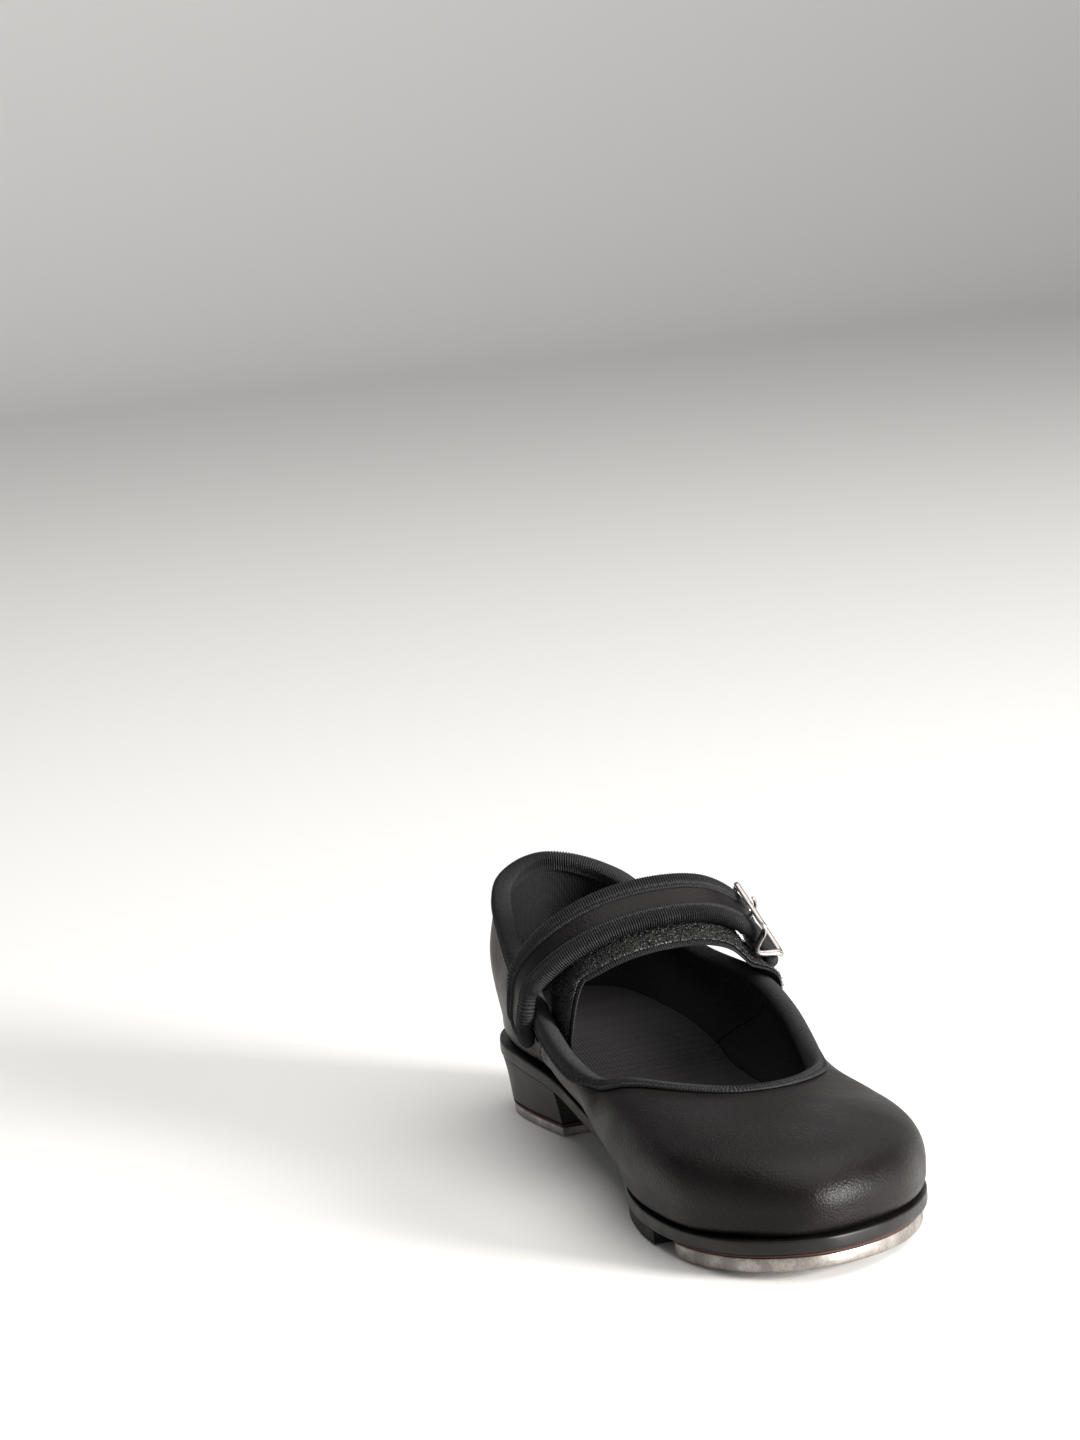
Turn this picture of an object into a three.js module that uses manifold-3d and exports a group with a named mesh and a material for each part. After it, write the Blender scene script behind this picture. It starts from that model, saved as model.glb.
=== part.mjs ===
// Left tap shoe: low heel, open throat, one instep strap over a fuzzy closure strap.
// Millimetres. +Z up, toe along -Y, +X towards the outer (little toe) side.
// The origin is the centre of the heel tap's bottom face, so the floor is z = 0.
import * as THREE from 'three';
import Module from 'manifold-3d';

const wasm = await Module();
wasm.setup();

// ---------------------------------------------------------------- driving dimensions
const GAP = 0.3;                 // clearance left between neighbouring pieces
const SOLE_T = 4.0;              // outsole thickness
const BOARD_T = 0.6;             // fibre board over each tap
const TAP_TOP_DROP = 5.2;        // top of the toe tap below the top of the outsole
const HEEL_TAP_T = 3.2;
const BREAST_Y = -30;            // front face of the heel
const TAP_BACK_Y = -152.5;       // rear edge of the toe tap
const TAP_CORNER = 14;           // radius of the toe tap's two back corners
const PAD_FRONT_Y = -150;
const PAD_BACK_Y = -98;
const TOE_FLAT_Y = -170;         // the toe tap is flat on the floor behind this line
const LIFT = 3.7;                // inside of the upper above the outsole
const CORNER = 3.0;              // radius where the upper turns under the foot
const FLANGE = 9.0;              // width of upper turned under the insole
const LINING = [0, 0.8];         // layer offsets from the inside of the upper
const STIFFENER = [1.1, 1.9];
const OUTER = [2.2, 3.4];
const BIND_H = 4.2;              // binding width on each side of the topline
const TOP_CLEAR = 1.0;           // upper's cut edge below the inside of the binding
const STRAP_W = 18;
const STRAP_T = 3.5;             // through the ribbon, strap and lining
const HINGE_S = 12;              // strap length stitched down at the inner side
const BUCKLE_FROM_TIP = 15.5;    // buckle centre, measured back from the strap's tip
const BUCKLE = { inner: 20.4, bar: 2.3, length: 18.2 };

// outsole outline, anticlockwise from the heel seen from below
const SOLE = [[0, 32], [-18, 26], [-27, 10], [-28, -8], [-25, -40], [-25, -68], [-31, -98],
  [-40.5, -125], [-44, -148], [-42.2, -176], [-33, -197], [-17, -207.5], [0, -204.5], [16, -194],
  [31, -175], [40, -152], [42, -128], [38, -98], [32, -65], [28, -30], [27, 0], [20, 22]];
// height of the outsole's top face along the shoe
const BED = [[34, 24.2], [5, 23.3], [-26, 20.4], [-60, 12.2], [-92, 10.0], [-125, 9.0],
  [-160, 9.3], [-190, 11.0], [-212, 13.0]];

// stations round the upper from the heel back: feather x, y; topline x, y, z;
// then the wall's lower rise, lower flare, upper spread and upper drop
const STATIONS = [
  [0, 28, 0, 28, 76, 28, 4, 4, 24],
  [-17, 20, -16, 21, 72, 26, 4, 4, 22],
  [-23.5, 0, -24, -4, 58, 18, 4, 3, 16],
  [-21.5, -34, -29.5, -36, 47, 10, 6, 3, 12],
  [-21.5, -62, -33, -58, 40.5, 8, 8, 3, 10],
  [-27.5, -92, -34, -76, 36, 8, 6, 2, 8],
  [-38, -126, -32, -92, 33, 12, 7, 4, 8],
  [-40.7, -150, -26.5, -109, 33.6, 14, 6.2, 13, 4],
  [-37.8, -178.5, -17.5, -120.5, 32.8, 16, 4.4, 25, 3],
  [-18.3, -203.2, -6.5, -127.5, 31.8, 17, 3, 36, 2],
  [10.4, -193.8, 6, -128, 31.2, 16, 2, 28, 2],
  [30.6, -168.5, 17, -121.5, 30.4, 14, 1.5, 17, 3],
  [37.8, -140, 26, -109.5, 30.2, 12, 1.5, 7, 5],
  [36.5, -112, 31.5, -93.5, 33.2, 11, 2.5, 3, 8],
  [31.5, -84, 33.2, -77, 41, 11, 5, 3, 10],
  [27.5, -50, 32.6, -56, 48, 12, 7, 3, 12],
  [24, -12, 27, -18, 52, 16, 5, 3, 14],
  [17, 20, 17, 17, 70, 24, 4, 4, 20],
];
const SEAM_IN = 3.5 / 18;        // vamp-to-quarter seams, as places round the upper
const SEAM_OUT = 15 / 18;
const SEAM_LEAN_IN = 1.0 / 18;
const SEAM_LEAN_OUT = -0.6 / 18;

// centre of the closing strap's outer face over the instep, inner side first, and its cross
// direction; before them it is stitched down at STRAP_ROOT's places on the inner wall
const STRAP_PATH = [[-37.4, -39.5, 55], [-29.5, -44.5, 65], [-14.5, -49.5, 73.4], [4, -52, 76.8],
  [22, -52, 75], [34.6, -50, 67.6], [40.8, -46.2, 59.2], [44.4, -42.2, 50.8]];
const STRAP_ACROSS = [[0.05, 1, 0.3], [0, 0.9, 0.5], [0, 0.82, 0.6], [0, 0.8, 0.62],
  [0, 0.8, 0.6], [0, 0.84, 0.54], [-0.05, 0.9, 0.42], [-0.1, 0.94, 0.32]];
const STRAP_ROOT = [[0.163, 0.62, 7.6], [0.156, 0.82, 8.5], [0.151, 1.0, 9.2]];
const ROOT_IN_ACROSS = [[0.16, 0.98, 0.08], [0.14, 0.97, 0.14], [0.1, 0.97, 0.22]];
// fuzzy under-strap: [distance from the strap's tip, depth below its inner face], then its root
const LOOP_BELOW = [[90, 1.6], [80, 0.8], [68, 0.5], [54, 0.5], [40, 0.6], [27, 1.2], [15, 3.3]];
const LOOP_FORWARD = 7;
const LOOP_TUCK = [[0.192, 0.55, -2.4], [0.173, 0.98, -2.6]];
const LOOP_ROOT = [[0.853, 1.0, 6.85], [0.847, 0.8, 6.3], [0.84, 0.55, 5.8]];
const TUCK_ACROSS = [[0.14, 0.96, 0.24], [0.08, 0.93, 0.36]];
const ROOT_OUT_ACROSS = [[-0.12, 0.98, 0.12], [-0.12, 0.98, 0.08], [-0.12, 0.98, 0.05]];
const LOOP_W = 18;

// ---------------------------------------------------------------- small helpers
const V = (x, y, z) => new THREE.Vector3(x, y, z);
const lerp = (a, b, t) => a + (b - a) * t;
const clamp01 = (t) => Math.min(1, Math.max(0, t));
const smooth = (a, b, t) => {
  const k = clamp01((t - a) / (b - a));
  return k * k * (3 - 2 * k);
};

/** Closed smooth curve through a list of [x, y, z]. */
function ring(points) {
  const list = points.map((p) => V(p[0], p[1], p[2] ?? 0));
  return new THREE.CatmullRomCurve3(list, true, 'centripetal');
}

const at = (curve, u) => curve.getPoint(((u % 1) + 1) % 1);

/** Cubic through the bed table, with central-difference slopes. */
function bed(y) {
  const n = BED.length;
  const slope = (i) => {
    const a = BED[Math.max(i - 1, 0)];
    const b = BED[Math.min(i + 1, n - 1)];
    if (i === 0 || i === n - 1) return (b[1] - a[1]) / (a[0] - b[0]);
    const h0 = a[0] - BED[i][0];
    const h1 = BED[i][0] - b[0];
    const d0 = (BED[i][1] - a[1]) / h0;
    const d1 = (b[1] - BED[i][1]) / h1;
    return (d0 * h1 + d1 * h0) / (h0 + h1);
  };
  const q = Math.max(Math.min(y, BED[0][0]), BED[n - 1][0]);
  let i = 0;
  while (i < n - 2 && q < BED[i + 1][0]) i += 1;
  const h = BED[i][0] - BED[i + 1][0];
  const s = (BED[i][0] - q) / h;
  const s2 = s * s;
  const s3 = s2 * s;
  return (2 * s3 - 3 * s2 + 1) * BED[i][1] + (s3 - 2 * s2 + s) * h * slope(i)
    + (3 * s2 - 2 * s3) * BED[i + 1][1] + (s3 - s2) * h * slope(i + 1);
}

/** Solid through equal-length closed loops of points. Ends are capped as strips unless closed. */
function loft(sections, closed = false) {
  const m = sections[0].length;
  const n = sections.length;
  const pos = [];
  for (const s of sections) for (const p of s) pos.push(p.x, p.y, p.z);
  const idx = [];
  const quad = (a, b, c, d) => idx.push(a, b, c, a, c, d);
  const last = closed ? n : n - 1;
  for (let i = 0; i < last; i += 1) {
    const r0 = i * m;
    const r1 = ((i + 1) % n) * m;
    for (let j = 0; j < m; j += 1) {
      const k = (j + 1) % m;
      quad(r0 + j, r1 + j, r1 + k, r0 + k);
    }
  }
  if (!closed) {
    const r = (n - 1) * m;
    for (let j = 0; j < m / 2 - 1; j += 1) {
      quad(j, j + 1, m - 2 - j, m - 1 - j);
      quad(r + j + 1, r + j, r + m - 1 - j, r + m - 2 - j);
    }
  }
  return oriented(pos, idx);
}

/** Indexed geometry with its faces turned outwards. */
function oriented(pos, idx) {
  let vol = 0;
  const a = V();
  const b = V();
  const c = V();
  for (let i = 0; i < idx.length; i += 3) {
    a.fromArray(pos, idx[i] * 3);
    b.fromArray(pos, idx[i + 1] * 3);
    c.fromArray(pos, idx[i + 2] * 3);
    vol += a.dot(b.cross(c));
  }
  const tri = idx.slice();
  if (vol < 0) {
    for (let i = 0; i < tri.length; i += 3) {
      tri[i + 1] = idx[i + 2];
      tri[i + 2] = idx[i + 1];
    }
  }
  const g = new THREE.BufferGeometry();
  g.setAttribute('position', new THREE.Float32BufferAttribute(pos, 3));
  g.setIndex(tri);
  return g;
}

function toSolid(g) {
  const mesh = new wasm.Mesh({
    numProp: 3,
    vertProperties: new Float32Array(g.attributes.position.array),
    triVerts: new Uint32Array(g.index.array),
  });
  return new wasm.Manifold(mesh);
}

function fromSolid(s) {
  const mesh = s.getMesh();
  return oriented(Array.from(mesh.vertProperties), Array.from(mesh.triVerts));
}

/** g with every cutter taken away. */
function cut(g, cutters) {
  let s = toSolid(g);
  for (const c of cutters) s = s.subtract(toSolid(c));
  return fromSolid(s);
}

function join(parts) {
  let s = toSolid(parts[0]);
  for (const p of parts.slice(1)) s = s.add(toSolid(p));
  return fromSolid(s);
}

/** Turned solid from [radius, z] pairs, standing at (x, y). */
function turned(profile, x, y, n = 20) {
  const pos = [];
  const idx = [];
  const m = profile.length;
  for (let i = 0; i < n; i += 1) {
    const a = (i / n) * Math.PI * 2;
    for (const [r, z] of profile) pos.push(x + r * Math.cos(a), y + r * Math.sin(a), z);
  }
  for (let i = 0; i < n; i += 1) {
    const r0 = i * m;
    const r1 = ((i + 1) % n) * m;
    for (let j = 0; j < m - 1; j += 1) {
      idx.push(r0 + j, r1 + j, r1 + j + 1, r0 + j, r1 + j + 1, r0 + j + 1);
    }
  }
  const lo = pos.length / 3;
  pos.push(x, y, profile[0][1], x, y, profile[m - 1][1]);
  for (let i = 0; i < n; i += 1) {
    const j = (i + 1) % n;
    idx.push(lo, j * m, i * m, lo + 1, i * m + m - 1, j * m + m - 1);
  }
  return oriented(pos, idx);
}

// ---------------------------------------------------------------- flat plates under the foot
const soleRing = ring(SOLE);
const featherRing = ring(STATIONS.map((s) => [s[0], s[1]]));

/** Outline points of a ring moved inwards. */
function inset(curve, d, n = 360) {
  const out = [];
  for (let i = 0; i < n; i += 1) {
    const p = at(curve, i / n);
    const t = at(curve, i / n + 0.002).sub(at(curve, i / n - 0.002));
    const nrm = V(t.y, -t.x, 0).normalize();
    out.push(p.addScaledVector(nrm, d));
  }
  return out;
}

/** Left and right edges of an outline at height y. */
function edges(outline, y) {
  let lo = Infinity;
  let hi = -Infinity;
  for (let i = 0; i < outline.length; i += 1) {
    const a = outline[i];
    const b = outline[(i + 1) % outline.length];
    if ((a.y - y) * (b.y - y) > 0 || a.y === b.y) continue;
    const x = lerp(a.x, b.x, (y - a.y) / (b.y - a.y));
    lo = Math.min(lo, x);
    hi = Math.max(hi, x);
  }
  return [lo, hi];
}

/**
 * Plate on an outline between y0 and y1, with its faces at bottom(y) and top(y).
 * The corners at y1 are rounded by a radius.
 */
function plate(outline, y0, y1, bottom, top, n = 30, radius = 0) {
  const ys = outline.map((p) => p.y);
  const low = Math.min(...ys) + 0.05;
  const high = Math.max(...ys) - 0.05;
  const a = Math.max(y0, low);
  const b = Math.min(y1, high);
  const roundA = a === low;
  const roundB = b === high;
  const sections = [];
  for (let i = 0; i <= n; i += 1) {
    let t = i / n;
    if (roundA && (roundB || radius)) t = (1 - Math.cos(Math.PI * t)) / 2;
    else if (roundA) t = 1 - Math.cos((Math.PI / 2) * t);
    else if (roundB) t = Math.sin((Math.PI / 2) * t);
    const y = lerp(a, b, t);
    const k = radius ? clamp01((y - b + radius) / radius) : 0;
    const turn = radius * (1 - Math.sqrt(1 - k * k));
    const [l, r] = edges(outline, y).map((x, side) => x + (side ? -turn : turn));
    sections.push([V(l, y, bottom(y)), V(l, y, top(y)), V(r, y, top(y)), V(r, y, bottom(y))]);
  }
  return loft(sections);
}

const tapLift = (y) => 3.4 * Math.pow(clamp01((TOE_FLAT_Y - y) / 37), 1.4);
const screwSpots = {
  toe: [[-30, -158], [-16, -190], [24, -166]],
  heel: [[-15, -18], [15, -18], [0, 20]],
};
const nailSpots = [[-10, 12], [10, 12], [-10, -12], [10, -12]];

/** Countersunk screw, head down. */
function screw(x, y, z0, reach) {
  return turned([[2.7, z0], [2.7, z0 + 0.4], [1.2, z0 + 1.9], [1.2, z0 + reach - 1.2],
    [0.3, z0 + reach]], x, y, 16);
}

/** Room for a screw with the gap all round. */
function screwHole(x, y, z0, reach) {
  const g = GAP;
  return turned([[2.7 + g, z0 - 2], [2.7 + g, z0 + 0.4 + g], [1.2 + g, z0 + 1.9 + g],
    [1.2 + g, z0 + reach + g]], x, y, 16);
}

const toeScrewZ = (y) => tapLift(y) + 0.2;
const TOE_REACH = 7.0;
const HEEL_REACH = 12.0;
const toeHoles = screwSpots.toe.map(([x, y]) => screwHole(x, y, toeScrewZ(y), TOE_REACH));
const heelHoles = screwSpots.heel.map(([x, y]) => screwHole(x, y, 0.2, HEEL_REACH));
const nailHoles = nailSpots.map(([x, y]) => turned([[0.9, bed(y) - 13.5], [0.9, bed(y) + 4.9],
  [2.3, bed(y) + 4.9], [2.3, bed(y) + 8]], x, y, 12));

const outsole = () => cut(
  plate(inset(soleRing, 0), -300, 300, (y) => bed(y) - SOLE_T, bed, 36),
  [...toeHoles, ...nailHoles],
);

const rubberPad = () => plate(inset(soleRing, -0.8), PAD_FRONT_Y, PAD_BACK_Y,
  (y) => bed(y) - 8.7, (y) => bed(y) - SOLE_T - GAP, 10);

const toeTap = () => cut(plate(inset(soleRing, -1.6), -300, TAP_BACK_Y, tapLift,
  (y) => bed(y) - TAP_TOP_DROP, 26, TAP_CORNER), toeHoles);

const toeBoard = () => cut(plate(inset(soleRing, -1.2), -300, TAP_BACK_Y,
  (y) => bed(y) - TAP_TOP_DROP + GAP, (y) => bed(y) - TAP_TOP_DROP + GAP + BOARD_T, 26,
  TAP_CORNER), toeHoles);

/** Outline of the heel at a fraction of its height, 0 at the floor. */
function heelOutline(k) {
  const d = lerp(-3.4, -0.5, k);
  return inset(soleRing, d);
}

const heelTap = () => cut(plate(heelOutline(0), BREAST_Y + 1.0, 300, () => 0,
  () => HEEL_TAP_T, 20), heelHoles);

const heelBoard = () => cut(plate(heelOutline(0.1), BREAST_Y + 0.8, 300, () => HEEL_TAP_T + GAP,
  () => HEEL_TAP_T + GAP + BOARD_T, 20), heelHoles);

/** Heel block: tapered D with a flat front face, its top following the outsole. */
function heelBlock() {
  const z0 = HEEL_TAP_T + 2 * GAP + BOARD_T;
  const low = heelOutline(0.15);
  const high = heelOutline(1);
  const yb = Math.max(...low.map((p) => p.y)) - 0.05;
  const yt = Math.max(...high.map((p) => p.y)) - 0.05;
  const n = 22;
  const sections = [];
  for (let i = 0; i <= n; i += 1) {
    const t = Math.sin((Math.PI / 2) * (i / n));
    const ya = lerp(BREAST_Y + 0.6, yb, t);
    const yc = lerp(BREAST_Y, yt, t);
    const [la, ra] = edges(low, ya);
    const [lc, rc] = edges(high, yc);
    const zt = bed(yc) - SOLE_T - GAP;
    sections.push([V(la, ya, z0), V(lc, yc, zt), V(rc, yc, zt), V(ra, ya, z0)]);
  }
  return cut(loft(sections), [...heelHoles, ...nailHoles]);
}

const insoleBoard = () => cut(plate(inset(featherRing, -2.8), -300, 300,
  (y) => bed(y) + LIFT + GAP, (y) => bed(y) + LIFT + 2.0, 36), nailHoles);

const padRise = (y) => 1.9 * smooth(-52, -40, y);
const liner0 = LIFT + 2.0 + GAP;
const sockLiner = () => plate(inset(featherRing, -1.2), -300, 300,
  (y) => bed(y) + liner0 + padRise(y), (y) => bed(y) + liner0 + padRise(y) + 1.1, 36);

const heelPad = () => plate(inset(featherRing, -4.0), -39, 300,
  (y) => bed(y) + liner0, (y) => bed(y) + liner0 + 1.6, 20);

const bottomFiller = () => plate(inset(featherRing, -FLANGE - 1.2), -300, -104,
  (y) => bed(y) + GAP, (y) => bed(y) + LIFT, 18);

function shank() {
  const sections = [];
  for (let i = 0; i <= 18; i += 1) {
    const y = lerp(-101, 2, i / 18);
    const w = 6.0;
    const z = bed(y) + 1.0;
    sections.push([V(-w, y, z), V(-w, y, z + 1.6), V(w, y, z + 1.6), V(w, y, z)]);
  }
  return loft(sections);
}

const heelNail = ([x, y]) => turned([[0.2, bed(y) - 13], [0.6, bed(y) - 12], [0.6, bed(y) + 5.2],
  [1.9, bed(y) + 5.2], [1.9, bed(y) + 5.6]], x, y, 10);

// ---------------------------------------------------------------- the upper's surface
const topRing = ring(STATIONS.map((s) => [s[2], s[3], s[4]]));
const handleRing = ring(STATIONS.map((s) => [s[5], s[6], s[7]]));
const dropRing = ring(STATIONS.map((s) => [s[8], 0, 0]));

/** Place round the upper, sheared so each quarter seam is a line of constant w. */
function shear(w, s) {
  const bump = (c, lean) => {
    let d = w - c;
    d -= Math.round(d);
    return lean * (1 - smooth(0.4, 2.2, Math.abs(d) * 18)) * (s - 0.5);
  };
  return w + bump(SEAM_IN, SEAM_LEAN_IN) + bump(SEAM_OUT, SEAM_LEAN_OUT);
}

function outward(u) {
  const t = at(featherRing, u + 0.001).sub(at(featherRing, u - 0.001));
  return V(t.y, -t.x, 0).normalize();
}

/** Inside surface of the wall: s = 0 above the corner, s = 1 at the topline. */
function wall(w, s) {
  const u = shear(w, s);
  const f = at(featherRing, u);
  const t = at(topRing, u);
  const h = at(handleRing, u);
  const n = outward(u);
  const p0 = V(f.x, f.y, bed(f.y) + LIFT + CORNER);
  const p1 = p0.clone().addScaledVector(n, h.y);
  p1.z += h.x;
  const p2 = t.clone().addScaledVector(n, h.z);
  p2.z -= at(dropRing, u).x;
  return new THREE.CubicBezierCurve3(p0, p1, p2, t).getPoint(Math.min(s, 1));
}

const reach = new Map();
/** Millimetres of wall per unit of s near the topline. */
function topScale(w) {
  if (!reach.has(w)) reach.set(w, wall(w, 1).distanceTo(wall(w, 0.98)) / 0.02);
  return reach.get(w);
}

function normal(w, s) {
  const e = 0.0015;
  const s0 = clamp01(s - 0.02);
  const s1 = clamp01(s + 0.02);
  const du = wall(w + e, s).sub(wall(w - e, s));
  const dv = wall(w, s1).sub(wall(w, s0));
  const flat = outward(shear(w, s));
  const n = du.cross(dv).normalize();
  if (n.dot(flat) < 0 && n.z < 0) n.negate();
  return n.lerp(flat, 1 - smooth(0, 0.2, s)).normalize();
}

/** Point of the upper at wall place s and offset o outwards. */
function onWall(w, s, o) {
  const p = wall(w, s).addScaledVector(normal(w, s), o);
  const f = at(featherRing, shear(w, s));
  p.z += (bed(p.y) - bed(f.y)) * Math.pow(1 - clamp01(s), 3) * (s < 0.3 ? 1 : 0);
  return p;
}

/** Point under the foot: radial distance and height local to the inside surface. */
function underFoot(w, radial, height) {
  const u = shear(w, 0);
  const p = at(featherRing, u).addScaledVector(outward(u), radial);
  p.z = bed(p.y) + LIFT + height;
  return p;
}

const WALL_LEVELS = [0, 0.13, 0.3, 0.5, 0.7];
/** One side of a layer at w, from the turned-under edge to the given wall place. */
function profile(w, o, from, to) {
  const out = [];
  if (from === 'flange') out.push(underFoot(w, -FLANGE, -o));
  out.push(underFoot(w, -CORNER, -o));
  for (const a of [-60, -30]) {
    const r = CORNER + o;
    const k = (a * Math.PI) / 180;
    out.push(underFoot(w, -CORNER + r * Math.cos(k), CORNER + r * Math.sin(k)));
  }
  const under = 1 - BIND_H / topScale(w % 1);
  for (const s of [...WALL_LEVELS, lerp(0.7, under, 0.5), under]) {
    if (s < to - 0.02) out.push(onWall(w, s, o));
  }
  out.push(onWall(w, to, o));
  return out;
}

// shared places round the upper, so neighbouring layers have matching facets
const PLACES = 50;
const SEAM_HALF = 0.0005;
const places = [];
for (let i = 0; i < PLACES; i += 1) places.push(i / PLACES);
for (const c of [0, SEAM_IN, SEAM_OUT]) places.push((c + SEAM_HALF) % 1, (c - SEAM_HALF + 1) % 1);
places.sort((a, b) => a - b);
const seams = [0, SEAM_IN, SEAM_OUT, 1];
const grid = places.filter((w) => {
  const d = Math.min(...seams.map((c) => Math.abs(w - c)));
  return d < SEAM_HALF * 1.01 ? d > SEAM_HALF * 0.5 : d > 0.004;
});

/** Grid places between two values, wrapping past the heel back when a is more than b. */
function span(a, b) {
  const e = 1e-9;
  if (a < b) return grid.filter((w) => w > a - e && w < b + e);
  return [...grid.filter((w) => w > a - e), ...grid.filter((w) => w < b + e).map((w) => w + 1)];
}

/** Layer of the upper over a run of places. */
function layer(ws, [o0, o1], from, top) {
  const sections = ws.map((w) => {
    const to = typeof top === 'number' ? top : 1 - TOP_CLEAR / topScale(w % 1);
    const outer = profile(w, o1, from, to);
    const inner = profile(w, o0, from, to);
    return [...outer, ...inner.reverse()];
  });
  return loft(sections);
}

const inA = SEAM_IN + SEAM_HALF;
const inB = SEAM_IN - SEAM_HALF;
const outA = SEAM_OUT - SEAM_HALF;
const outB = SEAM_OUT + SEAM_HALF;

/** U-shaped binding folded over the topline all the way round. */
function toplineBinding() {
  const sections = grid.map((w) => {
    const k = topScale(w);
    const n = normal(w, 1);
    const up = wall(w, 1).sub(wall(w, 0.97)).normalize();
    const point = (o, h) => {
      if (h <= 0) return onWall(w, 1 + h / k, o);
      return wall(w, 1).addScaledVector(n, o).addScaledVector(up, h);
    };
    const spots = [[4.7, -BIND_H], [4.7, -0.1], [3.7, 0.8], [-0.4, 0.8], [-1.5, -0.1],
      [-1.5, -BIND_H], [-0.75, -BIND_H], [-0.4, -0.2], [3.8, -0.2], [3.95, -BIND_H]];
    return spots.map(([o, h]) => point(o, h));
  });
  return loft(sections, true);
}

// ---------------------------------------------------------------- straps
/** Path with a frame: along, across and out, addressed by millimetres. */
function bandPath(points, across) {
  const c = new THREE.CatmullRomCurve3(points, false, 'centripetal');
  const a = new THREE.CatmullRomCurve3(across, false, 'centripetal');
  const n = 600;
  const length = [0];
  for (let i = 1; i <= n; i += 1) {
    length.push(length[i - 1] + c.getPoint(i / n).distanceTo(c.getPoint((i - 1) / n)));
  }
  const total = length[n];
  const place = (s) => {
    let i = 1;
    while (i < n && length[i] < s) i += 1;
    return (i - 1 + (s - length[i - 1]) / (length[i] - length[i - 1])) / n;
  };
  const frame = (s) => {
    const t = clamp01(place(s));
    const p = c.getPoint(t);
    const along = c.getPoint(Math.min(t + 0.004, 1)).sub(c.getPoint(Math.max(t - 0.004, 0)))
      .normalize();
    const side = a.getPoint(t);
    side.addScaledVector(along, -side.dot(along)).normalize();
    const out = along.clone().cross(side).normalize();
    if (s < 0) p.addScaledVector(along, s);
    if (s > total) p.addScaledVector(along, s - total);
    return { p, along, side, out };
  };
  const point = (s, w, t) => {
    const f = frame(s);
    return f.p.clone().addScaledVector(f.side, w).addScaledVector(f.out, t);
  };
  return { total, frame, point };
}

/** Places against the wall with their cross directions. */
function onRoot(spots, across) {
  return spots.map(([w, k, o], i) => ({ p: onWall(w, k, o), across: V(...across[i]) }));
}

const rootIn = onRoot(STRAP_ROOT, ROOT_IN_ACROSS);
const strapPath = bandPath(
  [...rootIn.map((r) => r.p), ...STRAP_PATH.map((p) => V(...p))],
  [...rootIn.map((r) => r.across), ...STRAP_ACROSS.map((p) => V(...p))],
);
const STRAP_END = strapPath.total;
const BUCKLE_S = STRAP_END - BUCKLE_FROM_TIP;

const tuck = onRoot(LOOP_TUCK, TUCK_ACROSS);
const rootOut = onRoot(LOOP_ROOT, ROOT_OUT_ACROSS);
const loopPath = bandPath(
  [...tuck.map((r) => r.p),
    ...LOOP_BELOW.map(([s, d]) => strapPath.point(STRAP_END - s, -LOOP_FORWARD, -STRAP_T - d)),
    ...rootOut.map((r) => r.p)],
  [...tuck.map((r) => r.across), ...LOOP_BELOW.map(([s]) => strapPath.frame(STRAP_END - s).side),
    ...rootOut.map((r) => r.across)],
);

/** Half width of a band that is rounded over the last millimetres before its end. */
function halfWidth(half, s, end, radius, sign) {
  const d = (end - s) * sign;
  if (d >= radius) return half;
  const k = clamp01(d / radius);
  return half - radius + radius * Math.sqrt(Math.max(0, 1 - (1 - k) * (1 - k))) + 0.001;
}

/** Places along a band, closer together near rounded ends. */
function steps(a, b, pitch, roundA, roundB, radius) {
  const out = [];
  const fan = [0, 0.04, 0.14, 0.3, 0.55];
  if (roundA) for (const k of fan) out.push(a + k * radius);
  const a1 = roundA ? a + radius : a;
  const b1 = roundB ? b - radius : b;
  const n = Math.max(2, Math.round((b1 - a1) / pitch));
  for (let i = 0; i <= n; i += 1) out.push(lerp(a1, b1, i / n));
  if (roundB) for (const k of fan.slice().reverse()) out.push(b - k * radius);
  return out;
}

/** Flat band between two places, bent onto a path. */
function band(path, a, b, half, t0, t1, { roundA = 0, roundB = 0, pitch = 4.5 } = {}) {
  const radius = Math.max(roundA, roundB, 1);
  const sections = steps(a, b, pitch, roundA > 0, roundB > 0, radius).map((s) => {
    let h = half;
    if (roundB) h = Math.min(h, halfWidth(half, s, b, roundB, 1));
    if (roundA) h = Math.min(h, halfWidth(half, s, a, roundA, -1));
    const spots = [[-h, t0], [-h, t1], [-h / 3, t1], [h / 3, t1], [h, t1], [h, t0], [h / 3, t0],
      [-h / 3, t0]];
    return spots.map(([w, t]) => path.point(s, w, t));
  });
  const turn = sections.map((p) => [p[1], p[2], p[3], p[4], p[5], p[6], p[7], p[0]]);
  return loft(turn);
}

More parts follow.
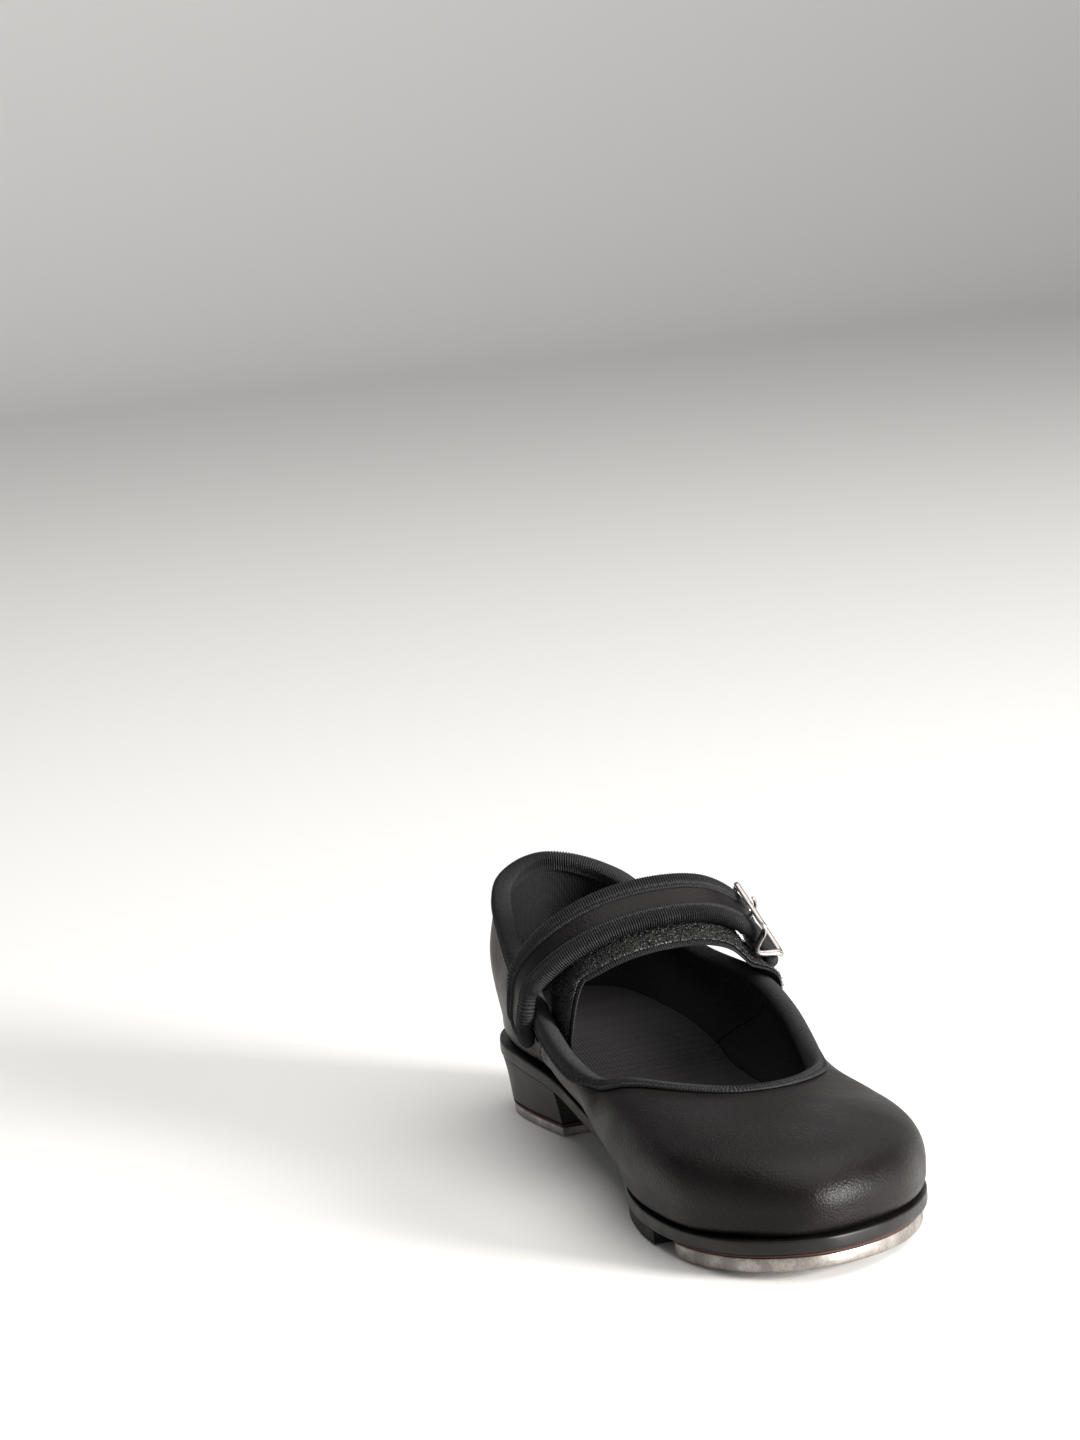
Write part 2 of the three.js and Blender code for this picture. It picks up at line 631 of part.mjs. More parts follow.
/** Ribbon folded over a strap's two long edges and one rounded end. */
function ribbon(path, a, b, half, tLow, tHigh, width, radius, atEnd) {
  const edge = [];
  const run = Math.max(2, Math.round((b - a - radius) / 4.5));
  const far = atEnd ? b : a;
  const near = atEnd ? a : b;
  const sign = atEnd ? 1 : -1;
  for (let i = 0; i <= run; i += 1) {
    edge.push({ s: lerp(near, far - sign * radius, i / run), w: -half, ds: 0, dw: 1 });
  }
  for (const q of [18, 36, 54, 72, 90]) {
    const k = (q * Math.PI) / 180;
    edge.push({
      s: far - sign * radius + sign * radius * Math.sin(k),
      w: -half + radius - radius * Math.cos(k),
      ds: -sign * Math.sin(k),
      dw: Math.cos(k),
    });
  }
  const other = edge.map((e) => ({ s: e.s, w: -e.w, ds: e.ds, dw: -e.dw })).reverse();
  const walk = [...edge, ...other];
  const skin = 0.35;
  const spots = [[width, tHigh], [0, tHigh], [-GAP - skin, tHigh - 0.4],
    [-GAP - skin, tLow + 0.4], [0, tLow], [width, tLow], [width, tLow + skin],
    [0, tLow + skin], [-GAP, tLow + skin + 0.2], [-GAP, tHigh - skin - 0.2],
    [0, tHigh - skin], [width, tHigh - skin]];
  const inner = (e, d) => {
    const keep = Math.min(d, Math.max(0, half - 0.02));
    return [e.s + e.ds * keep, e.w + e.dw * keep];
  };
  const sections = walk.map((e) => spots.map(([d, t]) => {
    const [s, w] = inner(e, d);
    return path.point(s, w, t);
  }));
  return loft(sections);
}

const EDGE = STRAP_W / 2 - 0.65;
const RIB = 5.2;
const T_TOP = 0;
const T_LOW = -STRAP_T;
const SKIN = 0.35;
const CORE = [T_LOW + SKIN + GAP + 0.6 + GAP, T_TOP - SKIN - GAP];
const LINE = [T_LOW + SKIN + GAP, T_LOW + SKIN + GAP + 0.6];
const MOVE_S = HINGE_S + 0.5;

/** Slot through the strap for the buckle's tongue, as a solid across all its layers. */
function tongueSlot() {
  const f = strapPath.frame(BUCKLE_S);
  const box = new THREE.BoxGeometry(6.0, 4.0, 8.0).toNonIndexed();
  const m = new THREE.Matrix4().makeBasis(f.along, f.side, f.out);
  const centre = f.p.clone().addScaledVector(f.along, -1.4).addScaledVector(f.out, -2.2);
  m.setPosition(centre);
  box.applyMatrix4(m);
  return weld(box);
}

/** Merge equal corners so a three.js solid can be cut. */
function weld(g) {
  const p = g.attributes.position;
  const seen = new Map();
  const pos = [];
  const map = [];
  for (let i = 0; i < p.count; i += 1) {
    const key = [p.getX(i), p.getY(i), p.getZ(i)].map((v) => Math.round(v * 1e4)).join();
    if (!seen.has(key)) {
      seen.set(key, pos.length / 3);
      pos.push(p.getX(i), p.getY(i), p.getZ(i));
    }
    map.push(seen.get(key));
  }
  const index = g.index ? Array.from(g.index.array, (i) => map[i]) : map;
  const idx = [];
  for (let i = 0; i < index.length; i += 3) {
    const [a, b, c] = index.slice(i, i + 3);
    if (a !== b && b !== c && c !== a) idx.push(a, b, c);
  }
  return oriented(pos, idx);
}

const strapCore = () => cut(band(strapPath, MOVE_S, STRAP_END, EDGE, CORE[0], CORE[1],
  { roundB: 7 }), [tongueSlot()]);
const strapLining = () => cut(band(strapPath, MOVE_S, STRAP_END, EDGE, LINE[0], LINE[1],
  { roundB: 7 }), [tongueSlot()]);
const strapRibbon = () => ribbon(strapPath, MOVE_S, STRAP_END, EDGE, T_LOW, T_TOP, RIB, 7, true);
const strapRootCore = () => band(strapPath, 0, HINGE_S, EDGE, CORE[0], CORE[1], { roundA: 6 });
const strapRootRibbon = () => ribbon(strapPath, 0, HINGE_S, EDGE, T_LOW, T_TOP, RIB, 6, false);
const hookPatch = () => band(strapPath, STRAP_END - 10, STRAP_END - 2, 6.5, T_LOW - GAP - 0.7,
  T_LOW - GAP, { pitch: 2.5 });

const LOOP_BACK = [-1.9, -1.25];
const LOOP_PILE = [-0.75, 0];
const LOOP_END = loopPath.total;
const LOOP_HINGE = LOOP_END - 12.5;
const loopBack = () => band(loopPath, 0, LOOP_HINGE - 0.5, LOOP_W / 2, LOOP_BACK[0], LOOP_BACK[1],
  { roundA: 5 });
const loopPile = () => band(loopPath, 3, LOOP_HINGE - 0.5, LOOP_W / 2 - 1.6, LOOP_PILE[0],
  LOOP_PILE[1], { roundA: 4 });
const loopAnchor = () => band(loopPath, LOOP_HINGE, LOOP_END, LOOP_W / 2, LOOP_BACK[0],
  LOOP_BACK[1] + 0.9, { roundB: 5, pitch: 3 });

// ---------------------------------------------------------------- buckle
/** Place a solid built in strap axes (along, across, out) at the buckle. */
function atBuckle(g) {
  const f = strapPath.frame(BUCKLE_S);
  const m = new THREE.Matrix4().makeBasis(f.along, f.side, f.out);
  m.setPosition(f.p);
  g.applyMatrix4(m);
  return oriented(Array.from(g.attributes.position.array), Array.from(g.index.array));
}

const BAR_Z = -STRAP_T - 1.05;   // centre bar below the strap's outer face
const BAR_R = 0.6;
/** Height of the frame's middle line above the strap, by place along the strap. */
const bow = (x) => lerp(BAR_Z + 0.1, 1.35, smooth(0.5, 6.2, Math.abs(x)));

function buckleFrame() {
  const half = BUCKLE.length / 2 - BUCKLE.bar / 2;
  const wide = BUCKLE.inner / 2 + BUCKLE.bar / 2;
  const r = 3.0;
  const corner = [];
  for (let i = 0; i <= 5; i += 1) {
    const a = (i / 5) * (Math.PI / 2);
    corner.push([half - r + r * Math.cos(a), wide - r + r * Math.sin(a)]);
  }
  const side = [3.6, 2.0, 0.9, 0, -0.9, -2.0, -3.6].map((x) => [x, wide]);
  const quarter = [...corner, ...side];
  const loop = [...quarter, ...corner.slice().reverse().map(([x, y]) => [-x, y]),
    ...corner.map(([x, y]) => [-x, -y]), ...side.map(([x, y]) => [-x, -y]),
    ...corner.slice().reverse().map(([x, y]) => [x, -y])];
  const n = loop.length;
  const b = BUCKLE.bar / 2;
  const sections = loop.map(([x, y], i) => {
    const p = loop[(i + n - 1) % n];
    const q = loop[(i + 1) % n];
    const t = V(q[0] - p[0], q[1] - p[1], 0).normalize();
    const o = V(t.y, -t.x, 0);
    const z = bow(x);
    const spots = [[b, -0.5], [b, 0.5], [b * 0.5, 0.95], [-b * 0.5, 0.95], [-b, 0.5], [-b, -0.5],
      [-b * 0.5, -0.8], [b * 0.5, -0.8]];
    return spots.map(([d, h]) => V(x, y, z + h).addScaledVector(o, d));
  });
  const rim = loft(sections, true);
  const bar = [];
  for (let i = 0; i <= 1; i += 1) {
    const y = lerp(-wide, wide, i);
    const loopPts = [];
    for (let k = 0; k < 10; k += 1) {
      const a = ((k + 0.5) / 10) * Math.PI * 2;
      loopPts.push(V(BAR_R * Math.cos(a), y, BAR_Z + BAR_R * Math.sin(a)));
    }
    bar.push(loopPts);
  }
  return atBuckle(join([rim, loft(bar)]));
}

/** Tongue: an eye round the centre bar and a pin lying on the bar nearer the instep. */
function buckleProng() {
  const inner = BAR_R + 0.3;
  const outer = inner + 0.65;
  const eye = [];
  for (let i = 0; i < 16; i += 1) {
    const a = (i / 16) * Math.PI * 2;
    const dir = V(Math.cos(a), 0, Math.sin(a));
    const spots = [[outer, -1.0], [outer, 1.0], [inner, 1.0], [inner, -1.0]];
    eye.push(spots.map(([r, y]) => V(0, y, BAR_Z).addScaledVector(dir, r)));
  }
  const line = [[-0.9, BAR_Z + 1.0], [-1.6, BAR_Z + 2.2], [-2.6, -1.2], [-3.6, 0.6], [-5.0, 2.2],
    [-6.6, 3.1], [-8.2, 3.35], [-9.6, 3.25]];
  const path = new THREE.CatmullRomCurve3(line.map(([x, z]) => V(x, 0, z)), false, 'centripetal');
  const pin = [];
  for (let i = 0; i <= 16; i += 1) {
    const p = path.getPoint(i / 16);
    const t = path.getTangent(i / 16);
    const up = V(-t.z, 0, t.x);
    const r = i === 16 ? 0.35 : 0.7;
    const loopPts = [];
    for (let k = 0; k < 8; k += 1) {
      const a = ((k + 0.5) / 8) * Math.PI * 2;
      loopPts.push(p.clone().addScaledVector(up, r * Math.sin(a)).add(V(0, r * Math.cos(a), 0)));
    }
    pin.push(loopPts);
  }
  return atBuckle(join([loft(eye, true), loft(pin)]));
}

// ---------------------------------------------------------------- assembly
const group = new THREE.Group();
group.name = 'tap_shoe_left';

function add(name, geometry, colour, roughness, metalness = 0) {
  geometry.computeVertexNormals();
  const material = new THREE.MeshStandardMaterial({ color: colour, roughness, metalness });
  const mesh = new THREE.Mesh(geometry, material);
  mesh.name = name;
  group.add(mesh);
}

const BLACK = 0x17161a;
add('vamp', layer(span(inA, outA), OUTER, 'flange'), BLACK, 0.45);
add('quarter_inner', layer(span(SEAM_HALF, inB), OUTER, 'flange'), BLACK, 0.45);
add('quarter_outer', layer(span(outB, 1 - SEAM_HALF), OUTER, 'flange'), BLACK, 0.45);
add('vamp_lining', layer(span(inA, outA), LINING, 'flange'), 0x1d1b1e, 0.9);
add('quarter_lining', layer(span(outB, inB), LINING, 'flange'), 0x1d1b1e, 0.9);
add('heel_counter', layer(span(16 / 18, 2 / 18), STIFFENER, 'edge', 0.68), 0xb39b78, 0.9);
add('toe_puff', layer(span(6.6 / 18, 12.4 / 18), STIFFENER, 'edge', 0.52), 0xb39b78, 0.9);
add('topline_binding', toplineBinding(), 0x1b1a1d, 0.85);

add('insole_board', insoleBoard(), 0x8f7350, 0.9);
add('sock_liner', sockLiner(), 0x2a2629, 0.85);
add('heel_pad', heelPad(), 0x5b5560, 0.95);
add('shank', shank(), 0x9a9ca0, 0.4, 1);
add('bottom_filler', bottomFiller(), 0xa57f52, 0.95);
add('outsole', outsole(), 0x1a191b, 0.7);
add('forefoot_rubber_pad', rubberPad(), 0x141415, 0.85);

add('toe_tap', toeTap(), 0xc9c9c6, 0.35, 1);
add('toe_tap_board', toeBoard(), 0x5a3428, 0.85);
add('heel_block', heelBlock(), 0x19181a, 0.5);
add('heel_tap', heelTap(), 0xc9c9c6, 0.35, 1);
add('heel_tap_board', heelBoard(), 0x5a3428, 0.85);
screwSpots.toe.forEach(([x, y], i) => {
  add(`toe_tap_screw_${i + 1}`, screw(x, y, toeScrewZ(y), TOE_REACH), 0xb8b8b8, 0.35, 1);
});
screwSpots.heel.forEach(([x, y], i) => {
  add(`heel_tap_screw_${i + 1}`, screw(x, y, 0.2, HEEL_REACH), 0xb8b8b8, 0.35, 1);
});
nailSpots.forEach((spot, i) => add(`heel_nail_${i + 1}`, heelNail(spot), 0x8c8d90, 0.45, 1));

add('strap', strapCore(), BLACK, 0.4);
add('strap_lining', strapLining(), 0x1d1b1e, 0.9);
add('strap_ribbon', strapRibbon(), 0x1b1a1d, 0.85);
add('strap_root', strapRootCore(), BLACK, 0.4);
add('strap_root_ribbon', strapRootRibbon(), 0x1b1a1d, 0.85);
add('hook_patch', hookPatch(), 0x121213, 0.95);
add('loop_strap', loopBack(), 0x1b1a1d, 0.9);
add('loop_pile', loopPile(), 0x151416, 1.0);
add('loop_strap_root', loopAnchor(), 0x151416, 1.0);
add('buckle_frame', buckleFrame(), 0xd6d7da, 0.2, 1);
add('buckle_tongue', buckleProng(), 0xd6d7da, 0.2, 1);

export default group;
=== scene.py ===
"""Looks of a left tap shoe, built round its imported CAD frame.

Shapes are worked out in millimetres and turned into metres when a mesh is made.
Toe along -Y, heel along +Y, +X towards the shoe's outer side, floor at z = 0.
Places on the upper are given by w, from 0 to 1 round the shoe from the heel back, inner side
first, by s, from 0 above the sole to 1 at the topline, and by an offset out from its inside face.
"""
import math

import bmesh
import bpy
import numpy as np
from mathutils import Matrix, Vector


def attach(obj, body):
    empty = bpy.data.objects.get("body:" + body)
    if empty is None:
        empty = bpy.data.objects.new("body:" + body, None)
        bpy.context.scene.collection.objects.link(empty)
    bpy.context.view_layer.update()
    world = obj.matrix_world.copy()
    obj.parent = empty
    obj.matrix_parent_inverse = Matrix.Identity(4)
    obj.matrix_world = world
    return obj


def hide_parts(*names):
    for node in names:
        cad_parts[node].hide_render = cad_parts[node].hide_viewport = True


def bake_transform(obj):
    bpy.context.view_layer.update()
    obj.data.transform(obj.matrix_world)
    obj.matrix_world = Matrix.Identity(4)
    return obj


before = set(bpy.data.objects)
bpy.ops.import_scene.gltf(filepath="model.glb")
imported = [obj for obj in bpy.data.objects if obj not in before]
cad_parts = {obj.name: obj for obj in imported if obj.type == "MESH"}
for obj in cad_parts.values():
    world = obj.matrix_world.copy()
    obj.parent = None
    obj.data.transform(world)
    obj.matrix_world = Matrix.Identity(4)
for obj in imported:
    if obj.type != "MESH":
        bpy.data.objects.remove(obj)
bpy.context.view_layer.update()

MM = 0.001
RNG = np.random.default_rng(7)

# ---------------- driving dimensions, mm
GAP = 0.3
SOLE_T = 4.0
TAP_TOP_DROP = 5.2
HEEL_TAP_T = 3.2
BOARD_T = 0.6
BREAST_Y = -30
TAP_BACK_Y = -152.5
TAP_CORNER = 14.0         # radius of the toe tap's two back corners
PAD_FRONT_Y, PAD_BACK_Y = -150, -98
TOE_FLAT_Y = -170
LIFT = 3.7
CORNER = 3.0
FLANGE = 9.0
LINING = (0.0, 0.8)
OUTER = (2.2, 3.4)
BIND_H = 4.2
TOP_CLEAR = 1.0
STRAP_T = 3.5
BUCKLE_FROM_TIP = 15.5
BUCKLE_INNER, BUCKLE_BAR, BUCKLE_LENGTH = 20.4, 2.3, 18.2
LOOP_W = 18
RIB = 0.8                 # pitch of the ribbon's ribs
RIB_DEPTH = 0.4
STITCH = 2.6              # pitch of the stitches
HOOK_PITCH = 0.85         # between the hook tape's hooks
PAD_RIB = 2.4             # pitch of the rubber pad's ribs
INSOLE_T = 2.0
BUTT = 0.0005             # gap in w where two sheets of the upper meet
AROUND = 540              # roughly the way round the shoe, to turn lengths into w
FAR = 300                 # beyond both ends of the shoe

SOLE = [[0, 32], [-18, 26], [-27, 10], [-28, -8], [-25, -40], [-25, -68], [-31, -98],
        [-40.5, -125], [-44, -148], [-42.2, -176], [-33, -197], [-17, -207.5], [0, -204.5],
        [16, -194], [31, -175], [40, -152], [42, -128], [38, -98], [32, -65], [28, -30],
        [27, 0], [20, 22]]
BED = np.array([[34, 24.2], [5, 23.3], [-26, 20.4], [-60, 12.2], [-92, 10.0], [-125, 9.0],
                [-160, 9.3], [-190, 11.0], [-212, 13.0]])
# feather x, y; topline x, y, z; the wall's lower rise, lower flare, upper spread, upper drop
STATIONS = np.array([
    [0, 28, 0, 28, 76, 28, 4, 4, 24],
    [-17, 20, -16, 21, 72, 26, 4, 4, 22],
    [-23.5, 0, -24, -4, 58, 18, 4, 3, 16],
    [-21.5, -34, -29.5, -36, 47, 10, 6, 3, 12],
    [-21.5, -62, -33, -58, 40.5, 8, 8, 3, 10],
    [-27.5, -92, -34, -76, 36, 8, 6, 2, 8],
    [-38, -126, -32, -92, 33, 12, 7, 4, 8],
    [-40.7, -150, -26.5, -109, 33.6, 14, 6.2, 13, 4],
    [-37.8, -178.5, -17.5, -120.5, 32.8, 16, 4.4, 25, 3],
    [-18.3, -203.2, -6.5, -127.5, 31.8, 17, 3, 36, 2],
    [10.4, -193.8, 6, -128, 31.2, 16, 2, 28, 2],
    [30.6, -168.5, 17, -121.5, 30.4, 14, 1.5, 17, 3],
    [37.8, -140, 26, -109.5, 30.2, 12, 1.5, 7, 5],
    [36.5, -112, 31.5, -93.5, 33.2, 11, 2.5, 3, 8],
    [31.5, -84, 33.2, -77, 41, 11, 5, 3, 10],
    [27.5, -50, 32.6, -56, 48, 12, 7, 3, 12],
    [24, -12, 27, -18, 52, 16, 5, 3, 14],
    [17, 20, 17, 17, 70, 24, 4, 4, 20],
], float)
STEPS = len(STATIONS)
SEAM_IN, SEAM_OUT = 3.5 / STEPS, 15 / STEPS
SEAM_LEANS = ((SEAM_IN, 1.0 / STEPS), (SEAM_OUT, -0.6 / STEPS))

STRAP_PATH = [[-37.4, -39.5, 55], [-29.5, -44.5, 65], [-14.5, -49.5, 73.4], [4, -52, 76.8],
              [22, -52, 75], [34.6, -50, 67.6], [40.8, -46.2, 59.2], [44.4, -42.2, 50.8]]
STRAP_ACROSS = [[0.05, 1, 0.3], [0, 0.9, 0.5], [0, 0.82, 0.6], [0, 0.8, 0.62],
                [0, 0.8, 0.6], [0, 0.84, 0.54], [-0.05, 0.9, 0.42], [-0.1, 0.94, 0.32]]
STRAP_ROOT = [[0.163, 0.62, 7.6], [0.156, 0.82, 8.5], [0.151, 1.0, 9.2]]
ROOT_IN_ACROSS = [[0.16, 0.98, 0.08], [0.14, 0.97, 0.14], [0.1, 0.97, 0.22]]
LOOP_BELOW = [[90, 1.6], [80, 0.8], [68, 0.5], [54, 0.5], [40, 0.6], [27, 1.2], [15, 3.3]]
LOOP_FORWARD = 7
LOOP_TUCK = [[0.192, 0.55, -2.4], [0.173, 0.98, -2.6]]
LOOP_ROOT = [[0.853, 1.0, 6.85], [0.847, 0.8, 6.3], [0.84, 0.55, 5.8]]
TUCK_ACROSS = [[0.14, 0.96, 0.24], [0.08, 0.93, 0.36]]
ROOT_OUT_ACROSS = [[-0.12, 0.98, 0.12], [-0.12, 0.98, 0.08], [-0.12, 0.98, 0.05]]


# ---------------- curves and the upper's surface
def catmull(points, t, closed=True):
    """Centripetal Catmull-Rom curve through the points, at every t from 0 to 1."""
    pts = np.asarray(points, float)
    n = len(pts)
    t = np.atleast_1d(np.asarray(t, float))
    if closed:
        p = (t % 1.0) * n
        i = np.floor(p).astype(int) % n
        k = p - np.floor(p)
        p0, p1, p2, p3 = (pts[j % n] for j in (i - 1, i, i + 1, i + 2))
    else:
        p = np.clip(t, 0, 1) * (n - 1)
        i = np.minimum(np.floor(p).astype(int), n - 2)
        k = p - i
        ext = np.vstack([2 * pts[0] - pts[1], pts, 2 * pts[-1] - pts[-2]])
        p0, p1, p2, p3 = ext[i], ext[i + 1], ext[i + 2], ext[i + 3]

    def step(a, b):
        return np.maximum(np.sum((a - b) ** 2, axis=-1) ** 0.25, 1e-4)[..., None]

    d0, d1, d2 = step(p0, p1), step(p1, p2), step(p2, p3)
    t1 = ((p1 - p0) / d0 - (p2 - p0) / (d0 + d1) + (p2 - p1) / d1) * d1
    t2 = ((p2 - p1) / d1 - (p3 - p1) / (d1 + d2) + (p3 - p2) / d2) * d1
    k = k[..., None]
    return (p1 + t1 * k + (-3 * p1 + 3 * p2 - 2 * t1 - t2) * k ** 2
            + (2 * p1 - 2 * p2 + t1 + t2) * k ** 3)


def smooth(a, b, t):
    k = np.clip((t - a) / (b - a), 0, 1)
    return k * k * (3 - 2 * k)


def unit(v):
    return v / np.maximum(np.linalg.norm(v, axis=-1, keepdims=True), 1e-9)


def run_length(points):
    """Distance along a polyline at each of its points."""
    step = np.linalg.norm(np.diff(points, axis=0), axis=1)
    return np.concatenate([[0], np.cumsum(step)])


def look_up(at, length, table):
    """Rows of a table at distances along it."""
    return np.stack([np.interp(at, length, column) for column in table.T], -1)


def circle(n):
    """So many even angles round a circle."""
    return np.linspace(0, 2 * math.pi, n, endpoint=False)


def bed(y):
    """Height of the outsole's top face."""
    xs = -BED[:, 0]
    zs = BED[:, 1]
    slope = np.gradient(zs, xs)
    q = np.clip(-np.asarray(y, float), xs[0], xs[-1])
    i = np.clip(np.searchsorted(xs, q) - 1, 0, len(xs) - 2)
    h = xs[i + 1] - xs[i]
    k = (q - xs[i]) / h
    return ((2 * k ** 3 - 3 * k ** 2 + 1) * zs[i] + (k ** 3 - 2 * k ** 2 + k) * h * slope[i]
            + (3 * k ** 2 - 2 * k ** 3) * zs[i + 1] + (k ** 3 - k ** 2) * h * slope[i + 1])


def around(columns):
    """Smooth lookup round the shoe of some of the stations' columns."""
    table = STATIONS[:, columns]
    return lambda u: catmull(table, np.asarray(u).ravel()).reshape(*np.shape(u), len(columns))


feather = around([0, 1])
topline = around([2, 3, 4])
handles = around([5, 6, 7])
drop = around([8])


def shear(w, s):
    u = w.copy()
    for centre, lean in SEAM_LEANS:
        d = w - centre
        d = np.abs(d - np.round(d)) * STEPS
        u = u + lean * (1 - smooth(0.4, 2.2, d)) * (s - 0.5)
    return u


def outward(u):
    t = feather(u + 0.001) - feather(u - 0.001)
    return unit(np.stack([t[..., 1], -t[..., 0], np.zeros(t.shape[:-1])], -1))


def wall(w, s):
    """Inside surface of the upper."""
    w, s = np.broadcast_arrays(np.asarray(w, float), np.asarray(s, float))
    u = shear(w, s)
    f = feather(u)
    t = topline(u)
    h = handles(u)
    n = outward(u)
    up = np.array([0.0, 0.0, 1.0])
    p0 = np.concatenate([f, (bed(f[..., 1]) + LIFT + CORNER)[..., None]], -1)
    p1 = p0 + n * h[..., 1:2] + up * h[..., 0:1]
    p2 = t + n * h[..., 2:3] - up * drop(u)
    k = np.minimum(s, 1.0)[..., None]
    return ((1 - k) ** 3 * p0 + 3 * (1 - k) ** 2 * k * p1 + 3 * (1 - k) * k ** 2 * p2
            + k ** 3 * t)


def normal(w, s):
    w, s = np.broadcast_arrays(np.asarray(w, float), np.asarray(s, float))
    du = wall(w + 0.0015, s) - wall(w - 0.0015, s)
    dv = wall(w, np.clip(s + 0.02, 0, 1)) - wall(w, np.clip(s - 0.02, 0, 1))
    flat = outward(shear(w, s))
    n = unit(np.cross(du, dv))
    turned = (np.sum(n * flat, -1) < 0) & (n[..., 2] < 0)
    n = np.where(turned[..., None], -n, n)
    k = (1 - smooth(0, 0.2, s))[..., None]
    return unit(n * (1 - k) + flat * k)


def on_wall(w, s, o):
    """Point at offset o outwards from the inside surface."""
    w, s, o = np.broadcast_arrays(*(np.asarray(a, float) for a in (w, s, o)))
    p = wall(w, s) + normal(w, s) * o[..., None]
    f = feather(shear(w, s))
    low = np.clip(1 - s / 0.3, 0, 1) ** 2
    p[..., 2] += (bed(p[..., 1]) - bed(f[..., 1])) * low
    return p


def under_foot(w, radial, height):
    u = shear(w, np.zeros_like(w))
    p = feather(u) + outward(u)[..., :2] * np.asarray(radial)[..., None]
    z = bed(p[..., 1]) + LIFT + height
    return np.concatenate([p, z[..., None]], -1)


def top_scale(w):
    """Millimetres of wall per unit of s near the topline."""
    return np.linalg.norm(wall(w, 1.0) - wall(w, 0.98), axis=-1) / 0.02


def girth(w, s=0.7):
    """Millimetres round the shoe per unit of w."""
    return np.linalg.norm(wall(w + 0.001, s) - wall(w - 0.001, s), axis=-1) / 0.002


# ---------------- meshes
def loft(sections, closed=False):
    """Vertices and quads through an array (sections, loop points, 3), with strip caps."""
    n, m, _ = sections.shape
    i = np.arange(n if closed else n - 1)[:, None]
    j = np.arange(m)[None, :]
    a = i * m + j
    b = ((i + 1) % n) * m + j
    c = ((i + 1) % n) * m + (j + 1) % m
    d = i * m + (j + 1) % m
    faces = np.stack([a, b, c, d], -1).reshape(-1, 4).tolist()
    if not closed:
        r = (n - 1) * m
        for j in range(m // 2 - 1):
            faces.append([j, j + 1, m - 2 - j, m - 1 - j])
            faces.append([r + j + 1, r + j, r + m - 1 - j, r + m - 2 - j])
    return sections.reshape(-1, 3), faces


def gather(parts):
    """Several (vertices, faces) as one."""
    verts, faces, base = [], [], 0
    for v, f in parts:
        verts.append(v)
        faces += [[k + base for k in face] for face in f]
        base += len(v)
    return np.vstack(verts), faces


def new_object(name, geometry, scale=1.0):
    """Object in the scene from (vertices, faces), with its faces turned outwards."""
    verts, faces = geometry
    mesh = bpy.data.meshes.new(name)
    mesh.from_pydata((np.asarray(verts) * scale).tolist(), [], faces)
    work = bmesh.new()
    work.from_mesh(mesh)
    bmesh.ops.recalc_face_normals(work, faces=work.faces)
    work.to_mesh(mesh)
    work.free()
    obj = bpy.data.objects.new(name, mesh)
    bpy.context.scene.collection.objects.link(obj)
    return obj


def piece(name, geometry, material, replaces=(), body="shoe", sharp=38, between=None):
    """Named object from (vertices, faces) in millimetres, riding on a body, or left unattached
    with its transform baked when between is given.
    """
    obj = new_object(name, geometry, MM)
    mesh = obj.data
    mesh.polygons.foreach_set("use_smooth", [True] * len(mesh.polygons))
    mesh.set_sharp_from_angle(angle=math.radians(sharp))
    mesh.materials.append(material)
    if between:
        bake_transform(obj)
    else:
        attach(obj, body)
    if replaces:
        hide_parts(*replaces)


def carve(geometry, cutters):
    """(vertices, faces) with solids taken away by exact booleans."""
    body, *tools = [new_object("carve", g) for g in (geometry, *cutters)]
    for tool in tools:
        cut = body.modifiers.new("cut", "BOOLEAN")
        cut.operation = "DIFFERENCE"
        cut.solver = "EXACT"
        cut.object = tool
    bpy.context.view_layer.update()
    done = bpy.data.meshes.new_from_object(
        body.evaluated_get(bpy.context.evaluated_depsgraph_get()))
    verts = np.array([v.co for v in done.vertices], float)
    faces = [list(p.vertices) for p in done.polygons]
    for obj in [body, *tools]:
        bpy.data.objects.remove(obj)
    return verts, faces


def capped(rings):
    """Closed solid through rings of points, with one flat face at each end."""
    m, last = len(rings[0]), (len(rings) - 1) * len(rings[0])
    faces = [[i + j, i + (j + 1) % m, i + m + (j + 1) % m, i + m + j]
             for i in range(0, last, m) for j in range(m)]
    faces += [list(range(m))[::-1], list(range(last, last + m))]
    return np.vstack(rings), faces


def lathe(profile, centre, n):
    """Turned solid from (radius, height) pairs."""
    a = circle(n)
    return capped([np.stack([r * np.cos(a), r * np.sin(a), np.full(n, z)], -1)
                   + np.asarray(centre, float) for r, z in profile])


def threads(points, tangents, normals, length=2.0, radius=0.26):
    """A short stitch at each point, lying along the tangent and dipping at both ends."""
    k = np.array([-0.5, -0.36, 0.0, 0.36, 0.5])
    rise = np.array([-0.34, 0.06, 0.16, 0.06, -0.34])
    size = np.array([0.5, 0.95, 1.0, 0.95, 0.5]) * radius
    ang = circle(6)
    side = unit(np.cross(tangents, normals))
    parts = []
    for p, t, n, b in zip(points, tangents, normals, side):
        centre = p + t * (k * length)[:, None] + n * rise[:, None]
        ring = (centre[:, None, :] + size[:, None, None]
                * (np.cos(ang)[None, :, None] * b + np.sin(ang)[None, :, None] * n))
        parts.append(loft(ring))
    return gather(parts)


def along_line(points, normals):
    """Points a stitch apart on a polyline, with their tangents and normals."""
    length = run_length(points)
    n = max(2, int(length[-1] / STITCH))
    at = (np.arange(n) + 0.5) * length[-1] / n
    ahead, behind = (look_up(at + d, length, points) for d in (0.4, -0.4))
    return look_up(at, length, points), unit(ahead - behind), unit(look_up(at, length, normals))


